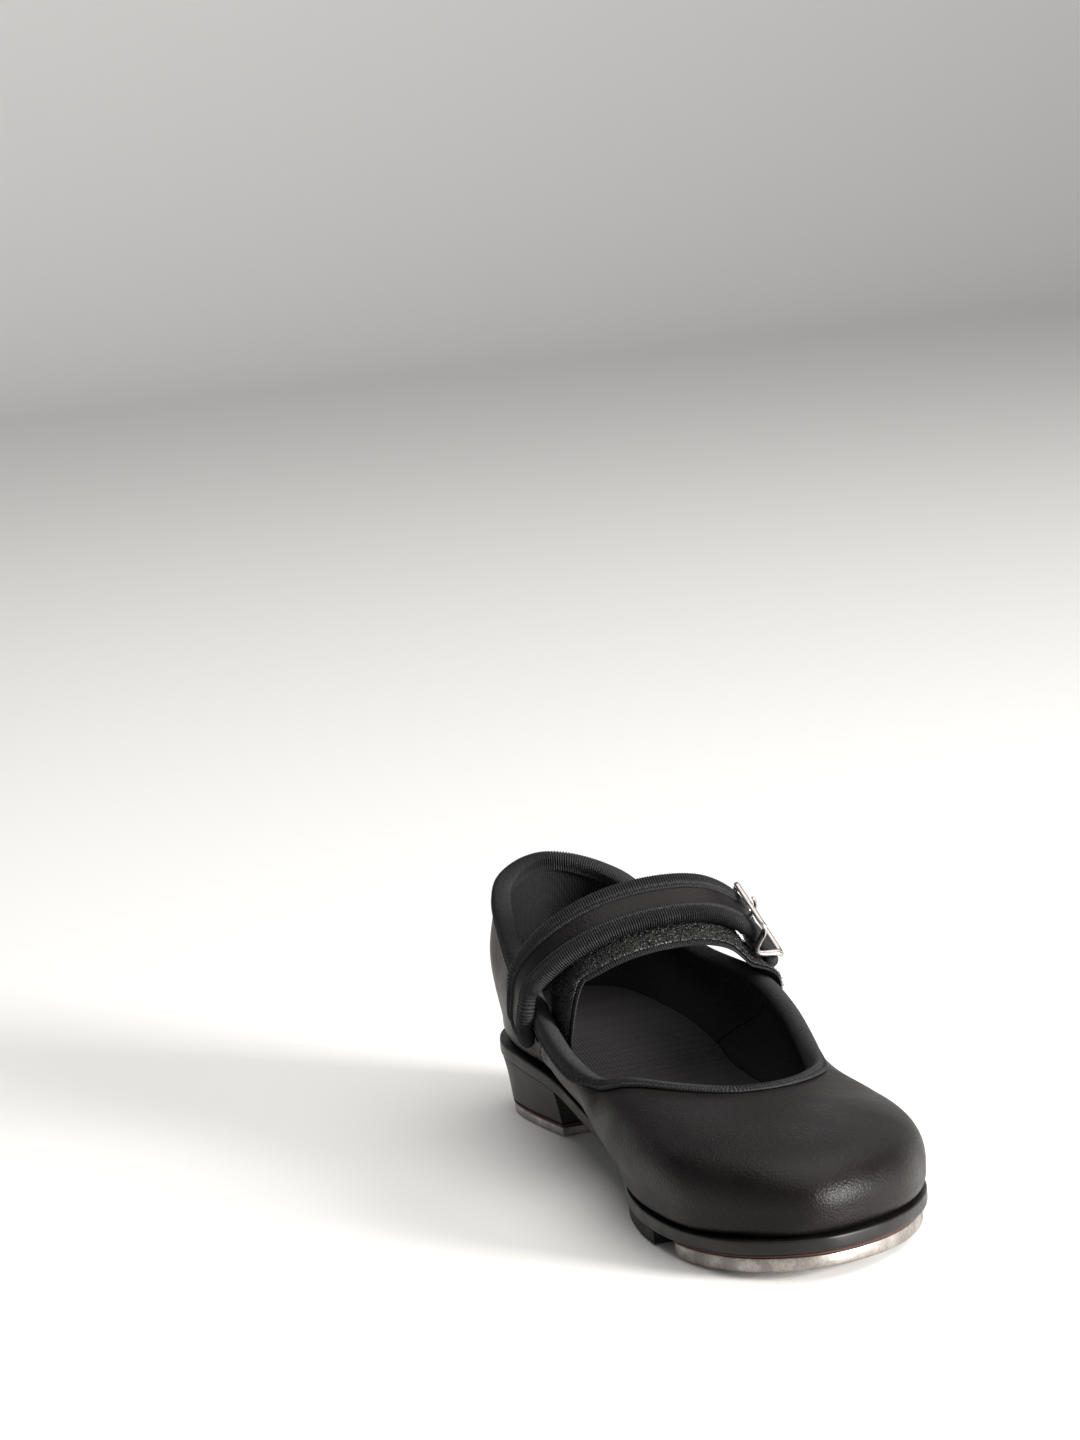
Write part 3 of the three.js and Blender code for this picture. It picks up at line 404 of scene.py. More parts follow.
# ---------------- materials
def ramp(tree, value, low, high, a=0.3, b=0.7):
    """Colours or greys low and high across part of the value's range."""
    node = tree.nodes.new("ShaderNodeValToRGB")
    node.color_ramp.elements[0].position = a
    node.color_ramp.elements[1].position = b
    for element, c in zip(node.color_ramp.elements, (low, high)):
        element.color = (c, c, c, 1) if isinstance(c, (int, float)) else (*c, 1)
    tree.links.new(value, node.inputs["Fac"])
    return node.outputs["Color"]


class Surface:
    """Material in the making: its node tree, its shader and its object coordinates."""

    def __init__(self, name, colour, roughness, metallic=0.0, **sockets):
        self.mat = bpy.data.materials.new(name)
        self.mat.use_nodes = True
        self.tree = self.mat.node_tree
        self.bsdf = self.tree.nodes["Principled BSDF"]
        values = {"Base_Color": (*colour, 1), "Roughness": roughness, "Metallic": metallic}
        for key, value in (values | sockets).items():
            self.bsdf.inputs[key.replace("_", " ")].default_value = value
        self.coord = self.tree.nodes.new("ShaderNodeTexCoord").outputs["Object"]

    def texture(self, kind, output, coord, **values):
        node = self.tree.nodes.new("ShaderNode" + kind)
        for key, value in values.items():
            node.inputs[key].default_value = value
        self.tree.links.new(coord, node.inputs["Vector"])
        return node.outputs[output]

    def noise(self, scale, detail=3.0, rough=0.55, stretch=None):
        coord = self.coord
        if stretch:
            coord = self.texture("Mapping", "Vector", coord, Scale=stretch)
        return self.texture("TexNoise", "Fac", coord, Scale=scale, Detail=detail, Roughness=rough)

    def cells(self, scale):
        return self.texture("TexVoronoi", "Distance", self.coord, Scale=scale)

    def waves(self, scale, direction, distortion):
        fac = self.texture("TexWave", "Fac", self.coord, Scale=scale, Distortion=distortion)
        fac.node.bands_direction = direction
        return fac

    def add_up(self, first, second, share):
        """first plus share times second."""
        node = self.tree.nodes.new("ShaderNodeMath")
        node.operation = "MULTIPLY_ADD"
        self.tree.links.new(second, node.inputs[0])
        node.inputs[1].default_value = share
        self.tree.links.new(first, node.inputs[2])
        return node.outputs[0]

    def drive(self, socket, value, low, high, a=0.3, b=0.7):
        """Shader's socket from low to high across part of the value's range."""
        self.tree.links.new(ramp(self.tree, value, low, high, a, b), self.bsdf.inputs[socket])

    def bump(self, height, strength, depth):
        """Relief of the given depth in millimetres."""
        node = self.tree.nodes.new("ShaderNodeBump")
        node.inputs["Strength"].default_value = strength
        node.inputs["Distance"].default_value = depth * MM
        self.tree.links.new(height, node.inputs["Height"])
        self.tree.links.new(node.outputs["Normal"], self.bsdf.inputs["Normal"])


def leather(name, colour, roughness, grain):
    """Smooth synthetic leather with fine pores, pebbles and a few scuffs."""
    m = Surface(name, colour, roughness, Specular_IOR_Level=0.16)
    lighter = tuple(c * 1.7 for c in colour)
    m.drive("Base Color", m.noise(90, 4), colour, lighter, 0.35, 0.8)
    pores = m.noise(2600, 2)
    m.bump(m.add_up(m.cells(1250), pores, 0.8), grain, 0.14)
    wear = m.add_up(m.noise(45, 5, 0.6), pores, 0.25)
    m.drive("Roughness", wear, roughness - 0.07, roughness + 0.12, 0.45, 0.85)
    return m.mat


def cloth(name, colour, thread, roughness=0.85, sheen=0.02, depth=0.12):
    """Plain weave of the given thread count per metre."""
    m = Surface(name, colour, roughness, Sheen_Weight=sheen, Sheen_Roughness=0.5,
                Specular_IOR_Level=0.2)
    across, along, up = (m.waves(thread, axis, 0.6) for axis in "XYZ")
    weave = m.add_up(m.add_up(across, along, 1.0), up, 1.0)
    fuzz = m.noise(2200)
    m.bump(m.add_up(weave, fuzz, 0.6), 0.6, depth)
    lighter = tuple(c * 2.1 + 0.004 for c in colour)
    m.drive("Base Color", m.add_up(fuzz, weave, 0.12), colour, lighter, 0.4, 0.9)
    return m.mat


def grain_only(name, colour, roughness, scale, depth, strength=0.4, spread=0.08, specular=0.5):
    """Rubber, plastic, cork or board: mottled colour, uneven gloss and a grained surface."""
    m = Surface(name, colour, roughness, Specular_IOR_Level=specular)
    fine = m.noise(scale, 5, 0.6)
    broad = m.noise(scale / 14, 4)
    lighter = tuple(min(1, c * 1.6 + 0.002) for c in colour)
    m.drive("Base Color", m.add_up(broad, fine, 0.3), colour, lighter, 0.4, 0.9)
    m.drive("Roughness", broad, roughness - spread, min(1, roughness + spread))
    m.bump(fine, strength, depth)
    return m.mat


def tap_metal():
    """Satin aluminium, with fine scratches both ways, dull patches and darker scuffs."""
    m = Surface("tap_aluminium", (0.64, 0.60, 0.56), 0.4, 1.0)
    long_marks = m.noise(3, 4, 0.7, (40, 900, 260))
    cross_marks = m.noise(3, 4, 0.7, (900, 60, 260))
    scratches = m.add_up(long_marks, cross_marks, 0.9)
    m.bump(scratches, 0.22, 0.05)
    dull = m.noise(130, 5, 0.65)
    specks = m.noise(1500, 4, 0.7)
    patchy = m.add_up(m.add_up(dull, scratches, 0.25), specks, 0.35)
    m.drive("Roughness", patchy, 0.3, 0.6, 0.55, 1.0)
    m.drive("Base Color", patchy, (0.56, 0.52, 0.48), (0.25, 0.23, 0.212), 0.6, 1.0)
    return m.mat


def plated():
    """Polished nickel with hair scratches."""
    m = Surface("buckle_nickel", (0.50, 0.465, 0.45), 0.25, 1.0)
    m.bump(m.noise(3, 5, 0.7, (700, 700, 90)), 0.12, 0.03)
    m.drive("Roughness", m.noise(260, 4), 0.2, 0.38)
    return m.mat


def steel(name, colour, roughness):
    m = Surface(name, colour, roughness, 1.0)
    m.drive("Roughness", m.noise(500, 4), roughness - 0.1, roughness + 0.2)
    m.bump(m.noise(1500), 0.2, 0.03)
    return m.mat


def ribbon_cloth():
    """Black grosgrain: the ribs are in the mesh, the threads along and across them here."""
    m = Surface("binding_grosgrain", (0.008, 0.008, 0.009), 0.65, Sheen_Weight=0.02,
                Sheen_Roughness=0.4, Specular_IOR_Level=0.28)
    fuzz = m.noise(3600, 3, 0.7)
    m.bump(m.add_up(m.waves(900, "DIAGONAL", 3.0), fuzz, 1.2), 0.55, 0.09)
    m.drive("Base Color", m.noise(1300), (0.0025, 0.0025, 0.0028), (0.017, 0.017, 0.019))
    m.drive("Roughness", fuzz, 0.5, 0.8)
    return m.mat


def loop_cloth():
    """Glossy black nylon loops, with lighter spots of painted glints in the colour and uneven
    gloss.
    """
    m = Surface("loop_pile_nylon", (0.006, 0.006, 0.006), 0.3, Specular_IOR_Level=0.55)
    spots = m.noise(1900, 3, 0.7)
    # painted glints: the lighter colour spots stand in for light glinting off the loops; the same
    # noise also varies the real gloss
    m.drive("Base Color", spots, (0.002, 0.002, 0.002), (0.035, 0.034, 0.031), 0.5, 0.85)
    m.drive("Roughness", spots, 0.2, 0.65)
    m.bump(m.cells(1700), 0.9, 0.3)
    return m.mat


UPPER = leather("upper_leather", (0.0045, 0.0035, 0.0032), 0.38, 0.7)
STRAP = leather("strap_leather", (0.0048, 0.0041, 0.0040), 0.40, 0.5)
LINING_CLOTH = cloth("lining_textile", (0.004, 0.0037, 0.0037), 420)
SOCK_CLOTH = cloth("sock_textile", (0.007, 0.0062, 0.0062), 300, depth=0.18)
RIBBON = ribbon_cloth()
PILE = loop_cloth()
THREAD = cloth("stitch_thread", (0.006, 0.006, 0.006), 900, 0.55, 0.05, 0.06)
SOLE_MAT = grain_only("outsole_compound", (0.0050, 0.0045, 0.0043), 0.40, 1400, 0.05,
                      specular=0.28)
PAD_MAT = grain_only("pad_rubber", (0.0045, 0.0042, 0.0042), 0.66, 1900, 0.1, 0.6,
                     specular=0.3)
HEEL_MAT = grain_only("heel_plastic", (0.0072, 0.0062, 0.0058), 0.45, 900, 0.04, 0.3, 0.06,
                      0.32)
BOARD_MAT = grain_only("tap_fibreboard", (0.046, 0.017, 0.011), 0.75, 1100, 0.14, 0.8,
                       specular=0.25)
TAP_MAT = tap_metal()
NICKEL = plated()
SCREW_MAT = steel("screw_steel", (0.5, 0.5, 0.5), 0.34)
NAIL_MAT = steel("nail_steel", (0.38, 0.38, 0.39), 0.45)
HOOK_MAT = grain_only("hook_nylon", (0.009, 0.009, 0.009), 0.5, 1600, 0.06)
FIBRE_MAT = grain_only("insole_fibre", (0.27, 0.17, 0.085), 0.85, 800, 0.12, 0.7)
STIFF_MAT = grain_only("stiffener_fibre", (0.42, 0.32, 0.19), 0.85, 900, 0.1, 0.6)
CORK_MAT = grain_only("cork", (0.34, 0.20, 0.09), 0.9, 420, 0.3, 0.9)
FOAM_MAT = grain_only("foam", (0.10, 0.085, 0.10), 0.95, 2400, 0.2, 0.8)
HIDDEN = {"heel_counter": STIFF_MAT, "toe_puff": STIFF_MAT, "insole_board": FIBRE_MAT,
          "heel_pad": FOAM_MAT, "shank": NAIL_MAT, "bottom_filler": CORK_MAT,
          **{f"heel_nail_{i}": NAIL_MAT for i in (1, 2, 3, 4)}}


# ---------------- upper
ARC = np.radians(np.arange(-90, 1, 7.5))


def wall_side(w, offset, top, levels):
    """Points from the edge turned under the foot up to wall place top, for every w."""
    w = np.asarray(w, float)
    o = np.broadcast_to(np.asarray(offset, float), w.shape)
    rows = [under_foot(w, np.full_like(w, -d), -o) for d in (FLANGE, 6.0)]
    square = np.where(o > OUTER[0], 0.55, 1.0)
    for a in ARC:
        r = CORNER + o
        x, z = math.cos(a) ** square, math.sin(-a) ** square
        rows.append(under_foot(w, -CORNER + r * x, CORNER - r * z))
    for k in np.linspace(0, 1, levels)[1:]:
        rows.append(on_wall(w, top * k, o))
    return np.stack(rows, 1)


def upper_sheet(w, inner, outer, levels=34):
    """Closed sheet of the upper between two offsets, cut off just below the topline."""
    top = 1 - TOP_CLEAR / top_scale(w % 1)
    out = wall_side(w, outer, top, levels)
    back = wall_side(w, inner, top, levels)
    return loft(np.concatenate([out, back[:, ::-1]], 1))


def folded(w, edges, thickness, radius=0.55):
    """Outer offset that rounds off towards the given ends of a sheet."""
    drop_by = np.zeros_like(w)
    for e in edges:
        d = np.abs(w - e) * girth(w)
        k = np.clip(1 - d / radius, 0, 1)
        drop_by = np.maximum(drop_by, thickness * 0.5 * (1 - np.sqrt(1 - k ** 2)))
    return drop_by


LAP = 4.5                 # how far the vamp lies over each quarter
LAP_IN = LAP / float(girth(np.array([SEAM_IN]))[0])
LAP_OUT = LAP / float(girth(np.array([SEAM_OUT]))[0])
VAMP_A, VAMP_B = SEAM_IN - LAP_IN * 0.4, SEAM_OUT + LAP_OUT * 0.4


def places(a, b, n, tight=()):
    """Even places with a few more close to each tight end."""
    w = np.linspace(a, b, n)
    extra = np.array([0.05, 0.12, 0.25, 0.45, 0.8, 1.6]) / AROUND
    for e in tight:
        w = np.concatenate([w, e + extra * (1 if e == a else -1)])
    return np.unique(np.round(w, 7))


def over_quarter(w):
    """How much the vamp steps out where it lies over a quarter, from 0 to 1."""
    a = 1 - smooth(SEAM_IN + LAP_IN * 0.4, SEAM_IN + LAP_IN * 1.1, w)
    b = smooth(SEAM_OUT - LAP_OUT * 1.1, SEAM_OUT - LAP_OUT * 0.4, w)
    return np.maximum(a, b)


def stitch_groove(w, lines):
    """Shallow dip along each seam's stitch line."""
    dip = np.zeros_like(w)
    for c in lines:
        d = (w - c) * girth(w)
        dip = dip + 0.22 * np.exp(-(d / 0.55) ** 2)
    return dip


VAMP_LINES = (VAMP_A + 1.9 / AROUND, VAMP_B - 1.9 / AROUND)


def make_upper():
    w = places(VAMP_A, VAMP_B, 260, (VAMP_A, VAMP_B))
    step = over_quarter(w)
    outer = OUTER[1] + 0.6 * step - folded(w, (VAMP_A, VAMP_B), 1.1) - stitch_groove(w, VAMP_LINES)
    inner = OUTER[0] + 1.25 * step
    piece("vamp_skin", upper_sheet(w, inner, outer, 40), UPPER, ["vamp"])
    w = places(BUTT, SEAM_IN + LAP_IN * 0.3, 90)
    piece("quarter_inner_skin", upper_sheet(w, OUTER[0], OUTER[1] - crease(w)), UPPER,
          ["quarter_inner"])
    w = places(SEAM_OUT - LAP_OUT * 0.3, 1 - BUTT, 80)
    piece("quarter_outer_skin", upper_sheet(w, *OUTER), UPPER, ["quarter_outer"])
    w = places(SEAM_IN + BUTT, SEAM_OUT - BUTT, 200)
    piece("vamp_lining_cloth", upper_sheet(w, *LINING, 26), LINING_CLOTH,
          ["vamp_lining"])
    w = places(SEAM_OUT + BUTT, 1 + SEAM_IN - BUTT, 150)
    piece("quarter_lining_cloth", upper_sheet(w, *LINING, 30), LINING_CLOTH,
          ["quarter_lining"])


def crease(w):
    """Two soft folds low on the inner quarter, just behind the seam."""
    folds = np.zeros_like(w)
    for centre, depth, width in ((0.178, 0.35, 0.0022), (0.170, 0.22, 0.003)):
        folds = folds + depth * np.exp(-((w - centre) / width) ** 2)
    return folds


def make_seams():
    """Stitches along the vamp's two lapped edges, and up the heel's back."""
    seams = [(line, 0.02, 1 - BIND_H / float(top_scale(np.array([line]))[0]) - 0.01, 60, 0.44)
             for line in VAMP_LINES]
    seams += [(line, 0.03, 0.9, 70, -0.1) for line in (0.0052, 0.9948)]
    parts = []
    for line, low, high, n, lift in seams:
        s = np.linspace(low, high, n)
        w = np.full_like(s, line)
        parts.append(threads(*along_line(on_wall(w, s, OUTER[1] + lift), normal(w, s))))
    piece("upper_stitching", gather(parts), THREAD, sharp=180)


def topline_places(pitch, each=1):
    """Places round the topline at even distances, so many for each pitch."""
    w = np.linspace(0, 1, 3001)
    length = run_length(wall(w, 1.0))
    n = int(round(length[-1] / pitch)) * each
    return np.interp(np.arange(n) * length[-1] / n, length, w) % 1.0


def rib_heights(n):
    return RIB_WAVE[np.arange(n) % 4] * RIB_DEPTH


def ribbed_section(spots, rib):
    """Both coordinates of a section for every rib height, from (x, y, dx, dy, share) spots."""
    x, y, dx, dy, share = np.array(spots).T
    return x + rib[:, None] * dx * share, y + rib[:, None] * dy * share


RIB_WAVE = np.array([-0.35, 0.65, 1.0, 0.65])


def binding_profile(rib):
    """Cross-section of the folded ribbon: offset and height pairs, for every rib height."""
    spots = [(4.1, -BIND_H, 1, 0, 0.5), (4.25, -3.75, 1, 0, 1), (4.22, -3.3, 1, 0, 0.8),
             (4.02, -3.0, 1, 0, 0.1), (4.02, -2.75, 1, 0, 0.1), (4.22, -2.45, 1, 0, 0.8),
             (4.28, -1.9, 1, 0, 1), (4.28, -1.2, 1, 0, 1), (4.2, -0.6, 1, 0, 1)]
    spots += [(1.55 + 2.6 * math.cos(t), -0.3 + 1.2 * math.sin(t), math.cos(t), math.sin(t), 1)
              for t in np.radians(np.linspace(8, 172, 9))]
    spots += [(-1.05, -0.8, -1, 0, 1), (-1.08, -1.8, -1, 0, 1), (-1.05, -2.7, -1, 0, 0.4),
              (-1.05, -3.2, -1, 0, 0.6), (-1.0, -BIND_H, -1, 0, 0.5),
              (-0.7, -BIND_H, 0, 0, 0), (-0.4, -0.4, 0, 0, 0), (3.6, -0.4, 0, 0, 0),
              (3.7, -BIND_H, 0, 0, 0)]
    return ribbed_section(spots, rib)


def on_topline(w, o, h):
    """Point at offset o and height h from the topline, over or beside the wall."""
    w = w[:, None] * np.ones_like(o)
    below = on_wall(w, 1 + np.minimum(h, 0) / top_scale(w), o)
    top = wall(w, 1.0)
    up = unit(top - wall(w, 0.97))
    above = top + normal(w, 1.0) * o[..., None] + up * h[..., None]
    return np.where((h <= 0)[..., None], below, above)


def make_binding():
    w = topline_places(RIB, 4)
    o, h = binding_profile(rib_heights(len(w)))
    piece("topline_ribbon", loft(on_topline(w, o, h), closed=True), RIBBON,
          ["topline_binding"], sharp=70)
    w = topline_places(STITCH)
    o, h = (np.full((len(w), 1), v) for v in (4.16, -2.88))
    mid, ahead = (on_topline(v, o, h)[:, 0] for v in (w, (w + 0.001) % 1))
    piece("topline_stitching", threads(mid, unit(ahead - mid), normal(w, 0.97), 1.9, 0.2), THREAD,
          sharp=180)


# ---------------- straps
class Path:
    """Curve with a frame along it, addressed by millimetres from its start."""

    def __init__(self, points, across):
        t = np.linspace(0, 1, 901)
        p = catmull(points, t, False)
        along = unit(catmull(points, np.minimum(t + 0.004, 1), False)
                     - catmull(points, np.maximum(t - 0.004, 0), False))
        side = catmull(across, t, False)
        side = unit(side - along * np.sum(side * along, -1, keepdims=True))
        self.tables = p, along, side, unit(np.cross(along, side))
        self.length = run_length(p)
        self.total = self.length[-1]

    def frame(self, s):
        """Point, along, side and out at every s, running straight on past the ends."""
        s = np.asarray(s, float)
        p, along, side, out = (look_up(s, self.length, table) for table in self.tables)
        over = np.where(s > self.total, s - self.total, np.minimum(s, 0))
        return p + along * over[..., None], along, side, out

    def point(self, s, w, t):
        s, w, t = np.broadcast_arrays(*(np.asarray(a, float) for a in (s, w, t)))
        p, _, side, out = self.frame(s)
        return p + side * w[..., None] + out * t[..., None]


def spots_on_wall(spots):
    w, s, o = np.array(spots).T
    return on_wall(w, s, o)


STRAP_LINE = Path(np.vstack([spots_on_wall(STRAP_ROOT), STRAP_PATH]),
                  np.vstack([ROOT_IN_ACROSS, STRAP_ACROSS]))
STRAP_END = STRAP_LINE.total
BUCKLE_S = STRAP_END - BUCKLE_FROM_TIP
BELOW_S = np.array([STRAP_END - s for s, _ in LOOP_BELOW])
BELOW_T = np.array([-STRAP_T - d for _, d in LOOP_BELOW])
LOOP_LINE = Path(
    np.vstack([spots_on_wall(LOOP_TUCK), STRAP_LINE.point(BELOW_S, -LOOP_FORWARD, BELOW_T),
               spots_on_wall(LOOP_ROOT)]),
    np.vstack([TUCK_ACROSS, STRAP_LINE.frame(BELOW_S)[2], ROOT_OUT_ACROSS]))
LOOP_HINGE = LOOP_LINE.total - 12.5

EDGE = 8.35               # half width of the strap inside its ribbon
END_R = 7.0
SLOT_AT = -1.4            # the tongue's slot, from the buckle's centre


def bend(path, start, end, depth, body):
    """Where a strap changes from the shoe to its own body, in metres."""
    ends = path.point(np.array([start, end]), 0, depth)
    return "shoe", body, *(tuple(float(c) * MM for c in p) for p in ends)


STRAP_BEND = bend(STRAP_LINE, 7.0, 19.0, -STRAP_T / 2, "closing_strap")
LOOP_BEND = bend(LOOP_LINE, LOOP_HINGE + 5.5, LOOP_HINGE - 6.5, -1, "loop_strap_body")


def half_width(s, half, a, b, radius):
    """Half width of a band with rounded ends."""
    d = np.minimum(s - a, b - s)
    k = np.clip(d / radius, 0, 1)
    return half - radius + radius * np.sqrt(np.maximum(0, 1 - (1 - k) ** 2)) + 0.02


def rounded_ring(corners, r, angles, count):
    """Even places round arcs about (x, y, start) corners, with their outward directions."""
    arcs = []
    for x, y, start in corners:
        a = math.radians(start) + angles
        arcs.append(np.stack([x + r * np.cos(a), y + r * np.sin(a), np.cos(a), np.sin(a)], -1))
    ring = np.vstack([*arcs, arcs[0][:1]])
    length = run_length(ring[:, :2])
    n = count(length[-1])
    return look_up(np.arange(n) * length[-1] / n, length, ring).T


def band(path, a, b, half, radius, low, high, crown=0.0, pitch=0.8, columns=13, relief=None):
    """Flat band with rounded ends and softened edges, from low to high off the path."""
    fan = np.array([0, 0.01, 0.04, 0.09, 0.16, 0.25, 0.36, 0.5, 0.7]) * radius
    s = np.concatenate([a + fan, np.arange(a + radius, b - radius, pitch), b - fan[::-1]])
    h = half_width(s, half, a, b, radius)
    k = np.linspace(-1, 1, columns)
    w = h[:, None] * k[None, :]
    soft = 0.3 * (high - low) * np.abs(k) ** 14
    top = high + crown * (1 - k ** 2) - soft + np.zeros_like(w)
    if relief is not None:
        top = top + relief(s[:, None], w)
    bottom = low + soft + np.zeros_like(w)
    ss = s[:, None] + np.zeros_like(w)
    upper = path.point(ss, w, top)
    lower = path.point(ss, w, bottom)
    return loft(np.concatenate([upper, lower[:, ::-1]], 1))


def strap_edge(inset, pitch, phase=1):
    """Evenly spaced (s, w) round the strap's edge moved inwards, with inward directions."""
    far, wide = STRAP_END - END_R, EDGE - END_R
    s, w, ns, nw = rounded_ring(
        ((far, wide, 0), (far, -wide, 270), (END_R, -wide, 180), (END_R, wide, 90)), END_R,
        np.radians(np.linspace(90, 0, 40)), lambda total: int(round(total / pitch)) * phase)
    norm = -np.hypot(ns, nw)
    return s + ns / norm * inset, w + nw / norm * inset, ns / norm, nw / norm


def strap_ribbon_mesh():
    """Ribbed ribbon folded over the strap's whole edge."""
    s, w, ds, dw = strap_edge(0, RIB, 4)
    t0 = -STRAP_T
    spots = [(5.2, -0.42, 0, 1, 0.2), (5.15, -0.12, 0, 1, 0.4), (4.7, 0.02, 0, 1, 1),
             (4.2, 0.0, 0, 1, 0.7), (3.95, -0.22, 0, 1, 0.05), (3.7, -0.22, 0, 1, 0.05),
             (3.4, 0.02, 0, 1, 0.8), (2.6, 0.08, 0, 1, 1), (1.5, 0.1, 0, 1, 1)]
    spots += [(0.6 + 1.25 * math.cos(t), t0 / 2 + (-t0 / 2 + 0.02) * math.sin(t),
               math.cos(t), math.sin(t), 1) for t in np.radians(np.linspace(90, 270, 9))]
    spots += [(1.5, t0 - 0.05, 0, -1, 1), (3.4, t0, 0, -1, 0.8), (3.8, t0 + 0.15, 0, -1, 0.1),
              (4.4, t0, 0, -1, 0.8), (5.2, t0 + 0.1, 0, -1, 0.3), (5.2, t0 + 0.4, 0, 0, 0),
              (0.3, t0 + 0.6, 0, 0, 0), (0.3, -0.7, 0, 0, 0)]
    d, t = ribbed_section(spots, rib_heights(len(s)))
    return loft(STRAP_LINE.point(s[:, None] + ds[:, None] * d, w[:, None] + dw[:, None] * d, t),
                closed=True)


def slot_tool():
    """Cutter for the tongue's slot."""
    p, along, side, out = (v[0] for v in STRAP_LINE.frame(np.array([BUCKLE_S + SLOT_AT])))
    a = circle(28)
    ring = np.cos(a)[:, None] * 2.75 * along + np.sin(a)[:, None] * 1.7 * side
    return capped([p + ring - out * 5, p + ring + out * 3])


def strap_relief(s, w):
    """Soft pinch beside the ribbon, pressed rim round the slot."""
    dent = -0.12 * np.exp(-((np.abs(w) - 3.1) / 0.5) ** 2)
    r = np.hypot((s - BUCKLE_S - SLOT_AT) / 1.6, w)
    return dent - 0.16 * np.exp(-((r - 1.6) / 0.6) ** 2)


def make_strap():
    inside = (STRAP_LINE, 0.4, STRAP_END - 0.4, EDGE - 0.35, END_R - 0.4)
    core = band(*inside, -2.25, -0.5, 0.28, 0.7, 27, strap_relief)
    lining = band(*inside, -3.15, -2.5, 0, 1.5)
    slot = [slot_tool()]
    piece("strap_face", carve(core, slot), STRAP, ["strap", "strap_root"],
          between=STRAP_BEND)
    piece("strap_lining_cloth", carve(lining, slot), LINING_CLOTH, ["strap_lining"],
          between=STRAP_BEND)
    piece("strap_grosgrain", strap_ribbon_mesh(), RIBBON,
          ["strap_ribbon", "strap_root_ribbon"], sharp=70, between=STRAP_BEND)
    s, w, _, _ = strap_edge(3.82, STITCH)
    parts = []
    for t, flip in ((0.0, 1), (-STRAP_T + 0.03, -1)):
        p = STRAP_LINE.point(s, w, t - 0.18 * flip)
        ahead, behind = np.roll(p, -1, 0), np.roll(p, 1, 0)
        parts.append(threads(p, unit(ahead - behind), STRAP_LINE.frame(s)[3] * flip, 1.9, 0.2))
    piece("strap_stitching", gather(parts), THREAD, sharp=180, between=STRAP_BEND)


def make_hooks():
    """Hook tape under the strap's free end: a base with rows of small bent hooks."""
    a, b = STRAP_END - 10, STRAP_END - 2.2
    parts = [band(STRAP_LINE, a, b, 5.2, 1.0, -STRAP_T - 1.0, -STRAP_T - 0.35, 0, 0.8)]
    lean = [[0, 0.0], [0.1, -0.35], [0.35, -0.55], [0.5, -0.4]]
    ang = circle(4)
    for s in np.arange(a + 0.9, b - 0.6, HOOK_PITCH):
        for w in np.arange(-4.4, 4.5, HOOK_PITCH):
            ring = [STRAP_LINE.point(s + ds + 0.11 * np.cos(ang), w + 0.11 * np.sin(ang),
                                     -STRAP_T - 0.95 + dt) for ds, dt in lean]
            parts.append(loft(np.array(ring)))
    piece("hook_tape", gather(parts), HOOK_MAT, ["hook_patch"], "closing_strap")


def make_loop_strap():
    end = LOOP_LINE.total

    def ribs(s, w):
        return 0.1 * np.cos(2 * math.pi * s / RIB)

    back = band(LOOP_LINE, 0, end, LOOP_W / 2, 5, -1.95, -1.2, 0, 0.2, 9, ribs)
    piece("loop_strap_ribbon", back, RIBBON, ["loop_strap", "loop_strap_root"],
          between=LOOP_BEND)

    bumps = RNG.normal(0, 1, (400, 60))

    def fuzz(s, w):
        i = np.clip((s / 0.4).astype(int), 0, 399)
        j = np.clip(((w + 9) / 0.4).astype(int), 0, 59)
        return 0.16 * bumps[i, j]

    a, b, half = 2.4, end - 1.6, LOOP_W / 2 - 1.5
    pile = band(LOOP_LINE, a, b, half, 4, -1.05, -0.35, 0.12, 0.42, 35, fuzz)
    piece("loop_pile_cloth", gather([pile, loops(a, b, half)]), PILE, ["loop_pile"],
          sharp=180, between=LOOP_BEND)


def loops(a, b, half, count=5200):
    """Small arched loops of yarn standing on the pile."""
    s = RNG.uniform(a + 0.4, b - 0.4, count)
    w = RNG.uniform(-1, 1, count) * (half_width(s, half, a, b, 4) - 0.15)
    turn = RNG.uniform(0, math.pi, count)[:, None]
    tall = RNG.uniform(0.25, 0.6, count)
    wide = RNG.uniform(0.25, 0.5, count)
    k = np.linspace(-1, 1, 5)
    rise = (1 - k ** 2)[None, :] * tall[:, None] - 0.45
    s = s[:, None] + np.cos(turn) * k * wide[:, None]
    w = w[:, None] + np.sin(turn) * k * wide[:, None]
    yarn = [LOOP_LINE.point(s - side * np.sin(turn), w + side * np.cos(turn), rise + up)
            for side, up in ((0.1, 0), (-0.1, 0), (0, 0.13))]
    return gather([capped(rings) for rings in np.stack(yarn, 2)])


# ---------------- buckle
BAR_Z = -STRAP_T - 1.05
BAR_R = 0.6


def at_buckle(local):
    """Places given along, across and out from the strap at the buckle."""
    p, *axes = (v[0] for v in STRAP_LINE.frame(np.array([BUCKLE_S])))
    return local @ np.stack(axes) + p


def rail_height(x):
    k = smooth(0.2, 6.6, np.abs(x))
    return BAR_Z + 0.1 + (1.35 - BAR_Z - 0.1) * k


def buckle_outline():
    """Rounded rectangle through the middle of the frame's bars, evenly spaced."""
    r = 3.0
    x = (BUCKLE_LENGTH - BUCKLE_BAR) / 2 - r
    y = (BUCKLE_INNER + BUCKLE_BAR) / 2 - r
    return rounded_ring(((x, y, 0), (-x, y, 90), (-x, -y, 180), (x, -y, 270)), r,
                        np.radians(np.linspace(0, 90, 24)), lambda total: 260)[:2].T


